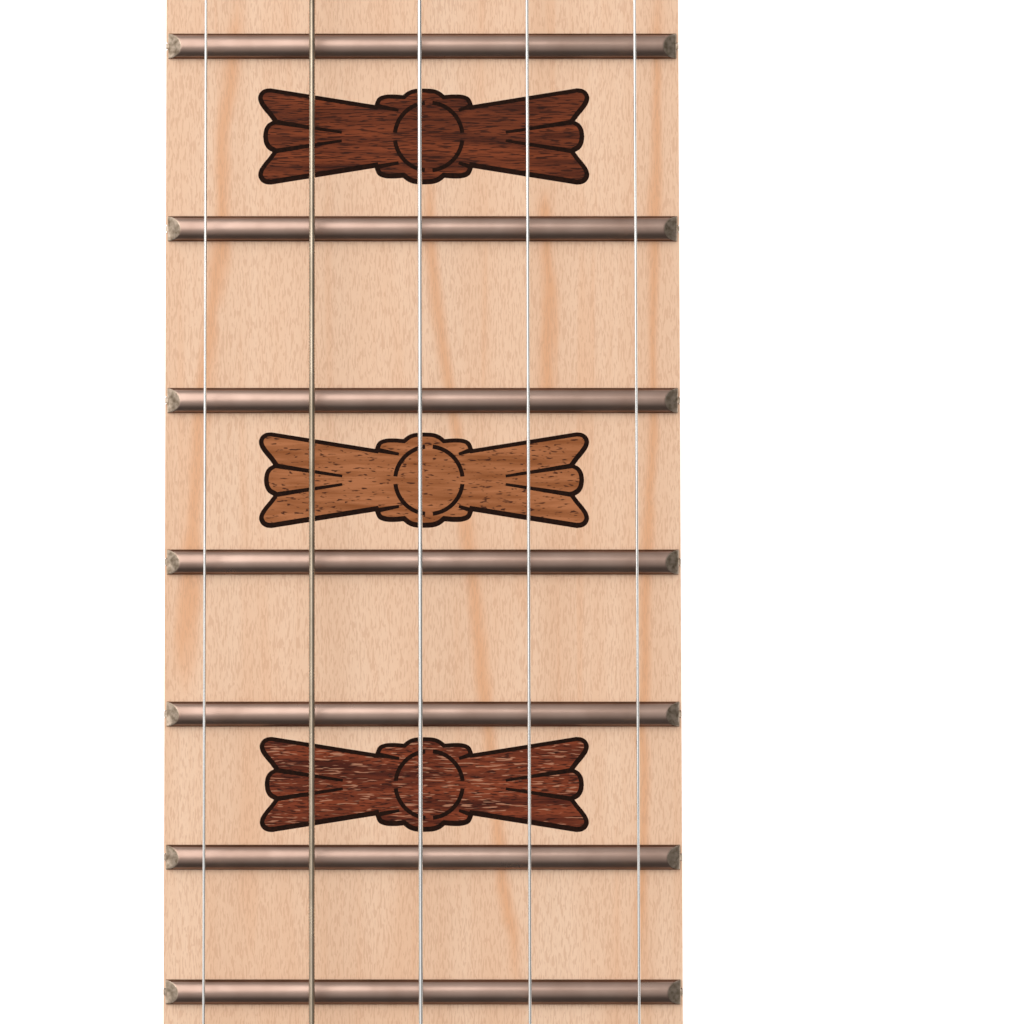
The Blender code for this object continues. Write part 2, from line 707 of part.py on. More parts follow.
def make_coordinator_rod():
    """Rod from the heel to the tail, with its nuts inside the rim and outside the tailpiece."""
    inner = (RIM_RADIUS - RIM_WALL) * FACET_SHRINK
    inner_face = math.sqrt(inner**2 - ROD_NUT**2) - CLEARANCE
    tail_face = HOOP_OUTER + CLEARANCE + TAIL_THICKNESS + CLEARANCE
    tail_end = tail_face + ROD_NUT_LENGTH
    tail = (0, -tail_end - ROD_PAST_NUT, ROD_HEIGHT)
    heel = (0, RIM_RADIUS + ROD_IN_HEEL, ROD_HEIGHT)
    rod = piece("coordinator_rod", cylinder(ROD_DIAMETER / 2, tail, heel), STEEL, STAND)
    nuts = []
    for start in (-tail_end, -inner_face, inner_face - ROD_NUT_LENGTH):
        end = start + ROD_NUT_LENGTH
        nuts.append(cylinder(ROD_NUT, (0, start, ROD_HEIGHT), (0, end, ROD_HEIGHT), 6))
    join(rod, tool("rod_nuts", together(nuts), STAND))


# Neck and fingerboard


def board_outline(start, end):
    """Outline of the fingerboard between two places along the neck."""
    steps = [blend(STEP_START_Y, STEP_END_Y, i / STEP_FACETS) for i in range(STEP_FACETS + 1)]
    bass = [(bass_edge(y), y) for y in [start, *steps, end]]
    return bass + [(treble_edge(end), end), (treble_edge(start), start)]


def inlay_outline(grow=0.0):
    """Bow with three-lobed ends and a lobed middle, widened by grow for its pocket."""
    reach, half = INLAY_LENGTH / 2, INLAY_WIDTH / 2
    quarter = [
        (0.05 * reach, 1.00 * half),
        (0.11 * reach, 0.87 * half),
        (0.24 * reach, 0.84 * half),
        (0.30 * reach, 0.66 * half),
        (0.92 * reach, 1.00 * half),
        (0.985 * reach, 0.95 * half),
        (1.00 * reach, 0.80 * half),
        (0.905 * reach, 0.31 * half),
        (0.955 * reach, 0.22 * half),
        (0.97 * reach, 0.0),
    ]
    right = quarter + [(x, -y) for x, y in reversed(quarter[:-1])]
    whole = right + [(-x, -y) for x, y in right]
    wide, high = 1 + grow / reach, 1 + grow / half
    return [(x * wide, y * high) for x, y in whole]


def inlay_centres():
    """Middle of each inlay: between two frets, in the middle of the board there."""
    places = []
    for fret in INLAY_FRETS:
        y = (fret_distance(fret - 1) + fret_distance(fret)) / 2
        narrow = fret <= FIFTH_STRING_FRET
        places.append((fret, NUT_CENTRE_X if narrow else 0.0, y))
    return places


def make_fingerboard():
    """Flat maple board with a slot for each fret, pockets for the inlays and a relieved end."""
    outline = board_outline(BOARD_END_Y, NUT_Y - PRESS_GAP)
    board = piece("fingerboard", plate(outline, -BOARD_THICKNESS, 0), MAPLE, NECK_FRAME)
    slot = TANG_THICKNESS / 2 + PRESS_GAP
    deep = TANG_DEPTH + PRESS_GAP
    slots = []
    for fret in range(1, FRET_COUNT + 1):
        y = fret_distance(fret)
        slots.append(box((-BOARD_WIDTH_AT_END, y - slot, -deep), (BOARD_WIDTH_AT_END, y + slot, deep)))
    fret_slots = tool("fret_slots", together(slots), NECK_FRAME)
    pocket = plate(inlay_outline(PRESS_GAP), -INLAY_THICKNESS - PRESS_GAP, INLAY_THICKNESS)
    places = [Matrix.Translation((x, y, 0)) for _, x, y in inlay_centres()]
    pockets = tool("inlay_pockets", together([pocket] * len(places), places), NECK_FRAME)
    # So many cuts in one flat face leave EXACT's result open at some scale lengths
    cut(board, fret_slots, pockets, POT_SPACE, PIP_SPACE, SPIGOT_SPACE, solver="MANIFOLD")


def make_inlays():
    """One wood bow for each marked fret, in three woods by turns."""
    woods = (WALNUT, MAHOGANY, WALNUT)
    for index, (fret, x, y) in enumerate(inlay_centres()):
        bow = plate(inlay_outline(), -INLAY_THICKNESS, 0)
        piece(f"inlay_{fret:02d}", bow, woods[index % 3], NECK_FRAME, Matrix.Translation((x, y, 0)))


def fret_section():
    """Crown and tang of fret wire as (y, z) points."""
    half = FRET_WIDTH / 2
    crown = [math.pi * i / ARCH_FACETS for i in range(ARCH_FACETS + 1)]
    arch = [(half * math.cos(a), PRESS_GAP + (FRET_HEIGHT - PRESS_GAP) * math.sin(a)) for a in crown]
    tang = TANG_THICKNESS / 2
    return arch + [(-tang, PRESS_GAP), (-tang, -TANG_DEPTH), (tang, -TANG_DEPTH), (tang, PRESS_GAP)]


def make_frets():
    """Fret wire across the board, with its ends filed to a slope."""
    for fret in range(1, FRET_COUNT + 1):
        y = fret_distance(fret)
        left, right = bass_edge(y), treble_edge(y)
        sections = []
        for edge, inward in ((left, 1), (right, -1)):
            ring = []
            for across, height in fret_section():
                slope = FRET_END_BEVEL * max(height, 0) / FRET_HEIGHT
                ring.append((edge + inward * slope, y + across, height))
            sections.append(ring)
        piece(f"fret_{fret:02d}", loft(sections), NICKEL_SILVER, NECK_FRAME)


def neck_section(y, top, depth, heel):
    """Half-round section of the neck: fuller along the shaft, tapering to a keel at the heel."""
    left, right = bass_edge(y), treble_edge(y)
    side, fall = blend(0.85, 1.25, heel), blend(0.95, 1.6, heel)
    ring = []
    for step in range(NECK_FACETS + 1):
        angle = math.pi * step / NECK_FACETS
        across = math.copysign(abs(math.cos(angle)) ** side, math.cos(angle))
        x = blend(left, right, (1 + across) / 2)
        ring.append((x, y, top - depth * abs(math.sin(angle)) ** fall))
    return ring


def neck_shape():
    """Loft of the neck from inside the pot's space to under the peghead."""
    sections = []
    heel_places = [-0.1, 0.1, 0.22, 0.3, 0.4, 0.52, 0.66, 0.82, 1.0]
    places = [BOARD_END_Y + share * HEEL_LENGTH for share in heel_places]
    places += [blend(places[-1], STEP_START_Y, share) for share in (0.4, 0.8, 1.0)]
    places += [blend(STEP_START_Y, STEP_END_Y, i / STEP_FACETS) for i in range(1, STEP_FACETS + 1)]
    places += [blend(STEP_END_Y, NUT_Y, 0.5), NUT_Y]
    for y in places:
        shaft = blend(NECK_DEPTH_AT_HEEL, NECK_DEPTH_AT_NUT, (y - BOARD_END_Y) / (NUT_Y - BOARD_END_Y))
        heel = clamp((BOARD_END_Y + HEEL_LENGTH - y) / (HEEL_LENGTH - HEEL_FLAT))
        depth = blend(shaft, HEEL_DEPTH, heel**2.4)
        sections.append(neck_section(y, NECK_TOP, depth, heel))
    for share in (0.5, 1.0):
        y = PEGHEAD_START_Y + share * VOLUTE_LENGTH
        depth = NECK_DEPTH_AT_NUT - VOLUTE_THINNING * (2 * share - 1)
        sections.append(neck_section(y, NECK_TOP, depth, 0))
    return loft(sections)


def peghead_outline():
    """Peghead seen from the front: narrow at the nut, waisted between the tuners, round-topped."""
    wide, length = PEGHEAD_WIDTH / 2, PEGHEAD_LENGTH
    half = [
        (NUT_HALF_WIDTH, 0.0),
        (NUT_HALF_WIDTH, 0.05 * length),
        (0.5 * (NUT_HALF_WIDTH + wide), 0.13 * length),
        (0.96 * wide, 0.21 * length),
        (wide, 0.30 * length),
        (PEGHEAD_WAIST / 2, 0.48 * length),
        (0.96 * wide, 0.70 * length),
        (wide, 0.84 * length),
        (0.82 * wide, 0.925 * length),
        (0.40 * wide, 0.955 * length),
        (0.0, length),
    ]
    return mirrored(smoothed(half, 3))


def make_neck():
    """Shaft, heel and peghead as one piece of maple, bored for tuners, rod and peg."""
    neck = piece("neck", neck_shape(), NECK_MAPLE, NECK_FRAME)
    head = plate(peghead_outline(), -PEGHEAD_THICKNESS, 0)
    join(neck, tool("peghead", head, PEGHEAD_FRAME))
    radius = POST_DIAMETER / 2 + CLEARANCE + BUSHING_WALL + CLEARANCE
    holes = []
    for x, y in TUNER_PLACES.values():
        holes.append(cylinder(radius, (x, y, -2 * PEGHEAD_THICKNESS), (x, y, PEGHEAD_THICKNESS)))
    cut(neck, tool("tuner_holes", together(holes), PEGHEAD_FRAME))
    cut(neck, POT_SPACE, ROD_SPACE, SPIGOT_SPACE)


def pip_space():
    """Cutter for the fifth-string nut's hole in the fingerboard."""
    x, deep = string_x(5, PIP_Y), PIP_DEPTH + PRESS_GAP
    hole = cylinder(PIP_DIAMETER / 2 + PRESS_GAP, (x, PIP_Y, -deep), (x, PIP_Y, deep))
    return tool("pip_space", hole, NECK_FRAME)


def make_nuts():
    """Bone nut with four grooves, and the grooved pip of the fifth string."""
    top = STRING_RISE_AT_NUT + NUT_OVER_STRINGS
    front = (bass_edge(NUT_Y), NUT_Y, -BOARD_THICKNESS)
    back = (treble_edge(NUT_Y), NUT_Y + NUT_THICKNESS, top)
    block = box(front, back)
    for vertex in block.vertices:
        if vertex.co.y > NUT_Y + NUT_THICKNESS / 2 and vertex.co.z > 0:
            vertex.co.z -= 2 * NUT_BACK_FALL
    cut(piece("nut", block, BONE, NECK_FRAME), STRING_SPACE)
    radius = PIP_DIAMETER / 2
    low, high = -PIP_DEPTH, string_rise(PIP_Y) + PIP_OVER_STRING
    points = [
        (0, high),
        (radius - PIP_CHAMFER, high),
        (radius, high - PIP_CHAMFER),
        (radius, low),
        (0, low),
    ]
    place = Matrix.Translation((string_x(5, PIP_Y), PIP_Y, 0))
    pip = turn(piece("fifth_string_nut", profile(points), BONE, NECK_FRAME, place), ROUND_STEPS)
    cut(pip, STRING_SPACE)


# Tuners


def rounded_rectangle(middle, width, length, corner):
    """Rectangle round a middle point, with each corner cut by an arc of three points."""
    points = []
    for turned, (right, up) in enumerate(((1, 1), (-1, 1), (-1, -1), (1, -1))):
        x = middle[0] + right * (width / 2 - corner)
        y = middle[1] + up * (length / 2 - corner)
        for share in (0, 0.5, 1):
            angle = (turned + share) * math.pi / 2
            points.append((x + corner * math.cos(angle), y + corner * math.sin(angle)))
    return points


def make_housing(string, frame, side):
    """Closed gear housing behind the peghead, with the bushing that comes out at the front."""
    top = -PEGHEAD_THICKNESS - CLEARANCE
    half = HOUSING_WIDTH / 2
    corners = rounded_rectangle((0, WORM_OFFSET / 2), HOUSING_WIDTH, HOUSING_LENGTH, HOUSING_CORNER)
    name = f"tuner_{string}_housing"
    housing = piece(name, plate(corners, top - HOUSING_DEPTH, top), NICKEL, frame)
    bore = POST_DIAMETER / 2 + CLEARANCE
    barrel = cylinder(bore + BUSHING_WALL, (0, 0, top - JOIN_DEPTH), (0, 0, 2 * CLEARANCE))
    hexagon = cylinder(BUSHING_HEX, (0, 0, CLEARANCE), (0, 0, CLEARANCE + BUSHING_HEX_HEIGHT), 6)
    worm_z = top - HOUSING_DEPTH / 2
    inside = (side * (half - JOIN_DEPTH), WORM_OFFSET, worm_z)
    outside = (side * (half + COLLAR_LENGTH), WORM_OFFSET, worm_z)
    collar = cylinder(COLLAR_DIAMETER / 2, inside, outside)
    for label, mesh in (("barrel", barrel), ("hex", hexagon), ("collar", collar)):
        join(housing, tool(f"tuner_{string}_{label}", mesh, frame))
    post_bore = cylinder(bore, (0, 0, top - POST_DEPTH_IN_HOUSING - CLEARANCE), (0, 0, POST_HEIGHT))
    worm_end = (side * (half - WORM_SHAFT_IN_HOUSING - CLEARANCE), WORM_OFFSET, worm_z)
    worm_mouth = (side * (half + 2 * COLLAR_LENGTH), WORM_OFFSET, worm_z)
    worm_bore = cylinder(WORM_SHAFT_DIAMETER / 2 + CLEARANCE, worm_end, worm_mouth)
    for label, mesh in (("post_bore", post_bore), ("worm_bore", worm_bore)):
        cut(housing, tool(f"tuner_{string}_{label}", mesh, frame))


def make_post(string, frame):
    """Turned string post: full at the bushing, waisted for the winding, with a string hole."""
    radius, waist = POST_DIAMETER / 2, POST_WAIST / 2
    shoulder = CLEARANCE + BUSHING_HEX_HEIGHT + POST_SHOULDER
    points = [
        (0, POST_HEIGHT),
        (radius - POST_CHAMFER, POST_HEIGHT),
        (radius, POST_HEIGHT - POST_CHAMFER),
        (radius, POST_HEIGHT - POST_RIM),
        (waist, POST_HEIGHT - POST_RIM - POST_SLOPE),
        (waist, shoulder + POST_SLOPE),
        (radius, shoulder),
        (radius, -PEGHEAD_THICKNESS - POST_DEPTH_IN_HOUSING),
        (0, -PEGHEAD_THICKNESS - POST_DEPTH_IN_HOUSING),
    ]
    post = turn(piece(f"tuner_{string}_post", profile(points), NICKEL, frame), ROUND_STEPS)
    height = POST_HEIGHT - POST_HOLE_BELOW_TOP
    hole = cylinder(POST_HOLE_DIAMETER / 2, (0, -2 * radius, height), (0, 2 * radius, height), 8)
    cut(post, tool(f"tuner_{string}_string_hole", hole, frame))


def make_button(name, frame, shaft_diameter, shaft_start, knob_start):
    """Flat oval knob on its shaft, along the frame's Z axis."""
    shaft = cylinder(shaft_diameter / 2, (0, 0, shaft_start), (0, 0, knob_start + 0.3 * BUTTON_LENGTH))
    button = piece(name, shaft, NICKEL, frame)
    outline = []
    for step in range(ROUND_STEPS):
        angle = 2 * math.pi * step / ROUND_STEPS
        fullness = 0.88 - 0.12 * math.cos(angle)
        along = knob_start + BUTTON_LENGTH * (1 - math.cos(angle)) / 2
        outline.append((BUTTON_WIDTH / 2 * fullness * math.sin(angle), along))
    knob = plate(outline, -BUTTON_THICKNESS / 2, BUTTON_THICKNESS / 2)
    knob.transform(Matrix(((0, 0, 1, 0), (1, 0, 0, 0), (0, 1, 0, 0), (0, 0, 0, 1))))
    body = tool(name + "_knob", knob, frame)
    round_edges(body, BUTTON_EDGE, 2)
    join(button, body)


def make_peghead_tuners():
    """Four sealed worm tuners, each post and worm shaft in its own frame."""
    for string, (x, y) in TUNER_PLACES.items():
        side = 1 if x > 0 else -1
        frame = empty(f"tuner_{string}_frame", PEGHEAD_FRAME, Matrix.Translation((x, y, 0)))
        make_housing(string, frame, side)
        make_post(string, frame)
        worm_z = -PEGHEAD_THICKNESS - CLEARANCE - HOUSING_DEPTH / 2
        turned = Matrix.Rotation(side * math.pi / 2, 4, "Y")
        worm = empty(f"worm_{string}_frame", frame, Matrix.Translation((0, WORM_OFFSET, worm_z)) @ turned)
        knob = PEGHEAD_WIDTH / 2 + BUTTON_GAP - TUNER_SPREAD / 2
        start = HOUSING_WIDTH / 2 - WORM_SHAFT_IN_HOUSING
        make_button(f"tuner_{string}_button", worm, WORM_SHAFT_DIAMETER, start, knob)


def spigot_space():
    """Cutter for the fifth tuner's spigot in the side of neck and board."""
    radius = SPIGOT_DIAMETER / 2 + CLEARANCE
    hole = cylinder(radius, (0, 0, -SPIGOT_DEPTH - CLEARANCE), (0, 0, SPIGOT_DEPTH))
    return tool("spigot_space", hole, FIFTH_FRAME)


def make_fifth_tuner():
    """Geared peg: spigot, core and gear drum in one, with the string sleeve between them."""
    flange = PEG_FLANGE_TOP
    core = PEG_CORE_DIAMETER / 2
    drum_start = flange + PEG_SLEEVE_LENGTH
    drum_end = drum_start + PEG_DRUM_LENGTH
    bore = PEG_SHAFT_DIAMETER / 2 + CLEARANCE
    floor = drum_end - PEG_SHAFT_DEPTH - CLEARANCE
    edge = PEG_DRUM_CHAMFER
    drum = PEG_DRUM_DIAMETER / 2
    points = [
        (0, floor),
        (bore, floor),
        (bore, drum_end),
        (drum - edge, drum_end),
        (drum, drum_end - edge),
        (drum, drum_start + edge),
        (drum - edge, drum_start),
        (core, drum_start),
        (core, flange),
        (PEG_FLANGE_DIAMETER / 2, flange),
        (PEG_FLANGE_DIAMETER / 2, PEG_SEAT),
        (SPIGOT_DIAMETER / 2, PEG_SEAT),
        (SPIGOT_DIAMETER / 2, -SPIGOT_DEPTH),
        (0, -SPIGOT_DEPTH),
    ]
    turn(piece("fifth_tuner_housing", profile(points), NICKEL, FIFTH_FRAME), ROUND_STEPS)
    low, high = flange + CLEARANCE, drum_start - CLEARANCE
    inner = core + CLEARANCE
    rim, waist = PEG_SLEEVE_RIM / 2, PEG_SLEEVE_WAIST / 2
    collar = 0.15 * PEG_SLEEVE_LENGTH
    sleeve = [(inner, high), (rim, high), (rim, high - collar / 2), (waist, high - collar)]
    sleeve += [(waist, low + collar), (rim, low + collar / 2), (rim, low), (inner, low)]
    post = piece("fifth_tuner_post", profile(sleeve, closed=True), NICKEL, FIFTH_FRAME)
    turn(post, ROUND_STEPS)
    start, knob = floor + CLEARANCE, drum_end + PEG_BUTTON_GAP
    make_button("fifth_tuner_button", FIFTH_FRAME, PEG_SHAFT_DIAMETER, start, knob)


# Bridge, tailpiece and strings


def make_bridge():
    """Three-footed maple bridge with two arches, thinning to its grooved top."""
    base, crest = BRIDGE_BASE_LENGTH / 2, BRIDGE_TOP_LENGTH / 2
    height = BRIDGE_HEIGHT - CLEARANCE
    half = []
    start, end = BRIDGE_MIDDLE_FOOT / 2, base - BRIDGE_OUTER_FOOT
    for step in range(ARCH_FACETS + 1):
        share = step / ARCH_FACETS
        half.append((blend(start, end, share), BRIDGE_ARCH * abs(math.sin(math.pi * share)) ** 0.7))
    half += [(base, 0.0), (base - BRIDGE_TOE, 0.25 * height), (crest, height)]
    body = plate(mirrored(half), -BRIDGE_BASE_THICKNESS / 2, BRIDGE_BASE_THICKNESS / 2)
    body.transform(Matrix.Rotation(math.pi / 2, 4, "X"))
    for vertex in body.vertices:
        share = vertex.co.z / height
        vertex.co.y *= blend(1, BRIDGE_TOP_THICKNESS / BRIDGE_BASE_THICKNESS, share)
    place = Matrix.Translation((0, BRIDGE_Y, HEAD_TOP + CLEARANCE))
    cut(piece("bridge", body, MAPLE, STAND, place), STRING_SPACE)


def tail_rows():
    """Sections of the tailpiece from its front lip back over the hoop and down to the rod."""
    front = TAIL_REACH - HOOP_OUTER
    outer = -(HOOP_OUTER + CLEARANCE + TAIL_THICKNESS)
    over = max(HOOP_TOP, HEAD_TOP) + CLEARANCE + TAIL_THICKNESS
    high = HEAD_TOP + TAIL_HEIGHT
    wide, strap = TAIL_FRONT_WIDTH / 2, TAIL_STRAP_WIDTH / 2
    return [
        (front, high, wide, TAIL_CROWN),
        (front - 0.20 * TAIL_REACH, high, 0.97 * wide, TAIL_CROWN),
        (front - 0.45 * TAIL_REACH, high, 0.80 * wide, TAIL_CROWN),
        (front - 0.70 * TAIL_REACH, blend(high, over, 0.35), blend(wide, strap, 0.7), TAIL_CROWN),
        (-HOOP_INNER, over + TAIL_SHOULDER, 1.1 * strap, 0.5 * TAIL_CROWN),
        (-HOOP_OUTER + TAIL_BEND, over + TAIL_BEND, strap, 0.0),
        (outer, over - TAIL_BEND_DROP, strap, 0.0),
        (outer, 0.55 * HOOP_BOTTOM + 0.45 * ROD_HEIGHT, 0.9 * strap, 0.0),
        (outer, ROD_HEIGHT, 0.9 * strap, 0.0),
        (outer, ROD_HEIGHT - TAIL_BELOW_ROD, 0.6 * strap, 0.0),
    ]


def make_tailpiece():
    """Pressed plate bent over the hoop, with a rolled front lip and a pin for each string."""
    shape = bmesh.new()
    rows = []
    for y, z, half, crown in tail_rows():
        row = [(half * t, y, z + crown * (1 - t * t)) for t in (-1, -0.5, 0, 0.5, 1)]
        rows.append([shape.verts.new(point) for point in row])
    for row, following in zip(rows, rows[1:]):
        for i in range(len(row) - 1):
            shape.faces.new((row[i], following[i], following[i + 1], row[i + 1]))
    mesh = bpy.data.meshes.new("tail plate")
    shape.to_mesh(mesh)
    shape.free()
    tail = piece("tailpiece", mesh, NICKEL, STAND)
    thick = tail.modifiers.new("Sheet", "SOLIDIFY")
    thick.thickness = TAIL_THICKNESS
    thick.offset = -1
    thick.use_even_offset = True
    wide = 0.98 * TAIL_FRONT_WIDTH / 2
    lip = tube([(-wide, LIP_Y, LIP_Z), (wide, LIP_Y, LIP_Z)], TAIL_LIP_DIAMETER / 2)
    join(tail, tool("tail_lip", lip, STAND))
    pins = []
    for string in range(1, 6):
        x = (3 - string) * TAIL_PIN_SPACING
        foot = (x, PIN_Y, PIN_Z - TAIL_CROWN - TAIL_THICKNESS / 2)
        pins.append(cylinder(TAIL_PIN_DIAMETER / 2, foot, (x, PIN_Y, PIN_Z + TAIL_PIN_HEIGHT), 8))
    join(tail, tool("tail_pins", together(pins), STAND))
    cut(tail, ROD_SPACE)


def string_route(string):
    """Way of a string from its tail pin over the bridge and nut to just short of its post."""
    radius = STRING_DIAMETERS[string - 1] / 2
    before_pin = PIN_Y + TAIL_PIN_DIAMETER / 2 + CLEARANCE
    start = Vector(((3 - string) * TAIL_PIN_SPACING, before_pin, PIN_Z + 0.4 * TAIL_PIN_HEIGHT))
    saddle = NECK_PLACE @ Vector((string_x(string, 0), 0, STRING_RISE_AT_BRIDGE))
    over_lip = start.lerp(saddle, (LIP_Y - start.y) / (saddle.y - start.y))
    over_lip.z = LIP_Z + TAIL_LIP_DIAMETER / 2 + CLEARANCE + radius
    route = [start, over_lip, saddle]
    if string == 5:
        front = Vector((string_x(5, PIP_Y), PIP_Y, string_rise(PIP_Y)))
        along = PEG_FLANGE_TOP + PEG_SLEEVE_LENGTH / 2
        top = PEG_SLEEVE_WAIST / 2 + radius
        goal = FIFTH_PEG_PLACE @ Vector((top, 0, along))
        route.append(NECK_PLACE @ front)
    else:
        x = string_x(string, NUT_Y)
        front = Vector((x, NUT_Y + 0.3 * NUT_THICKNESS, STRING_RISE_AT_NUT))
        back = Vector((x, NUT_Y + NUT_THICKNESS, STRING_RISE_AT_NUT - NUT_BACK_FALL))
        post_x, post_y = TUNER_PLACES[string]
        inward = -1 if post_x > 0 else 1
        beside = inward * (POST_WAIST / 2 + radius)
        goal = PEGHEAD_PLACE @ Vector((post_x + beside, post_y, WINDING_HEIGHT))
        route += [NECK_PLACE @ front, NECK_PLACE @ back]
    last = goal - route[-1]
    route.append(goal - last.normalized() * STRING_SHORT_OF_POST)
    return route


def string_space():
    """Cutter for the string grooves in bridge and nuts."""
    tubes = []
    for string in range(1, 6):
        radius = STRING_DIAMETERS[string - 1] / 2 + CLEARANCE
        tubes.append(tube(string_route(string), radius))
    return tool("string_space", together(tubes), STAND)


def make_strings():
    """Five strings, the fourth with a bronze winding."""
    for string in range(1, 6):
        finish = BRONZE if string == 4 else STEEL
        radius = STRING_DIAMETERS[string - 1] / 2
        piece(f"string_{string}", tube(string_route(string), radius), finish, STAND)


def centre_on_origin():
    """Move the stand so that the middle of the whole banjo's length is over the origin."""
    bpy.context.view_layer.update()
    depsgraph = bpy.context.evaluated_depsgraph_get()
    ends = []
    for obj in PARTS.objects:
        if obj.type == "MESH":
            shape = obj.evaluated_get(depsgraph)
            ends += [(shape.matrix_world @ Vector(corner)).y for corner in shape.bound_box]
    STAND.location.y = -(min(ends) + max(ends)) / 2


# Spaces that neighbours leave in more than one piece
POT_SPACE = pot_space()
ROD_SPACE = rod_space()
STRING_SPACE = string_space()
SPIGOT_SPACE = spigot_space()
PIP_SPACE = pip_space()

make_rim()
make_head()
make_tension_hoop()
make_bracket_band()
make_coordinator_rod()
make_neck()
make_fingerboard()
make_frets()
make_inlays()
make_nuts()
make_peghead_tuners()
make_fifth_tuner()
make_bridge()
make_tailpiece()
make_strings()
centre_on_origin()
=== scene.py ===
"""Looks of an open-back banjo, built round the fixed frame of its solid model.

The banjo lies on its back with its head up, the peghead towards +Y and the first string on
the +X side. Sizes are in metres, angles in radians, colours are sRGB hex values.
"""

import functools
import json
import logging
import math
from dataclasses import dataclass, field
from enum import Enum

import bmesh
import bpy
from mathutils import Matrix, Vector


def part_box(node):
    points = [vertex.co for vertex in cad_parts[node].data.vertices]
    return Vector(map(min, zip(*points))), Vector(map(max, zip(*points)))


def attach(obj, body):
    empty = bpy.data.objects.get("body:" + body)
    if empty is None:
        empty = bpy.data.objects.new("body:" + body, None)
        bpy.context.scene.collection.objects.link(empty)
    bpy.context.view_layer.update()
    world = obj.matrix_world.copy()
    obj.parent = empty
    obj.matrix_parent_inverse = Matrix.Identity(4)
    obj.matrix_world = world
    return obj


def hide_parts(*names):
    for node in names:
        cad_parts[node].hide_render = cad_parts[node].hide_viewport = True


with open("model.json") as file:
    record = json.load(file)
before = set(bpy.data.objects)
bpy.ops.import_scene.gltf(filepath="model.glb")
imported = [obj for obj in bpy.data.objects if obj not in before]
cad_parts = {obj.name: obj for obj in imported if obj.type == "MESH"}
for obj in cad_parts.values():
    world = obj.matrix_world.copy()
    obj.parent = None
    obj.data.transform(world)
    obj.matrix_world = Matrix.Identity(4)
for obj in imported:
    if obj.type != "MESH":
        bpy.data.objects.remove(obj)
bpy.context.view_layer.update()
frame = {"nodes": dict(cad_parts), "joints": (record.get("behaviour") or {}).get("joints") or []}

LOG = logging.getLogger("banjo")
MM = 0.001
FIXED = "banjo"  # the body that doesn't move


class Slot(Enum):
    """Material slots of the record."""

    BOARD = "board_maple"
    NECK = "neck_maple"
    RIM = "rim_maple"
    BRIDGE = "bridge_maple"
    WALNUT = "walnut"
    MAHOGANY = "mahogany"
    FRET = "nickel_silver"
    PLATE = "nickel_plate"
    STEEL = "steel"
    BRONZE = "bronze"
    BONE = "bone"
    FILM = "head_film"


class Grain(Enum):
    """Which way wood grain runs."""

    ALONG_NECK = "along"
    ACROSS_NECK = "across"
    ROUND_POT = "round"


def linear(colour: str) -> tuple[float, float, float, float]:
    """Turn an sRGB hex colour to linear.

    Args:
        colour: six hex digits after a hash mark.

    Returns:
        Linear red, green, blue and an alpha of one.
    """
    parts = [int(colour[i : i + 2], 16) / 255 for i in (1, 3, 5)]
    red, green, blue = (v / 12.92 if v <= 0.04045 else ((v + 0.055) / 1.055) ** 2.4 for v in parts)
    return red, green, blue, 1.0


def add_node(
    tree: bpy.types.NodeTree, kind: str, settings: dict | None = None, inputs: dict | None = None
) -> bpy.types.Node:
    """Add one shader node.

    Args:
        tree: the tree it goes in.
        kind: the node's type name.
        settings: its properties; stops fills a colour ramp with (place, hex colour) pairs.
        inputs: values or sockets, by input name or number.

    Returns:
        The new node.
    """
    node = tree.nodes.new(kind)
    for key, value in (settings or {}).items():
        if key == "stops":
            ramp = node.color_ramp
            while len(ramp.elements) < len(value):
                ramp.elements.new(1.0)
            for element, (place, colour) in zip(ramp.elements, value):
                element.position = place
                element.color = linear(colour)
        else:
            setattr(node, key, value)
    for key, value in (inputs or {}).items():
        if isinstance(value, bpy.types.NodeSocket):
            tree.links.new(value, node.inputs[key])
        else:
            node.inputs[key].default_value = value
    return node


def new_material(name: str, **sockets: float) -> tuple[bpy.types.Material, bpy.types.NodeTree, bpy.types.Node]:
    """Start a material.

    Args:
        name: what the real material is.
        sockets: constants for the Principled shader, with underscores for spaces.

    Returns:
        The material, its node tree and its Principled shader.
    """
    material = bpy.data.materials.new(name)
    material.use_nodes = True
    shader = material.node_tree.nodes["Principled BSDF"]
    for key, value in sockets.items():
        shader.inputs[key.replace("_", " ")].default_value = value
    return material, material.node_tree, shader


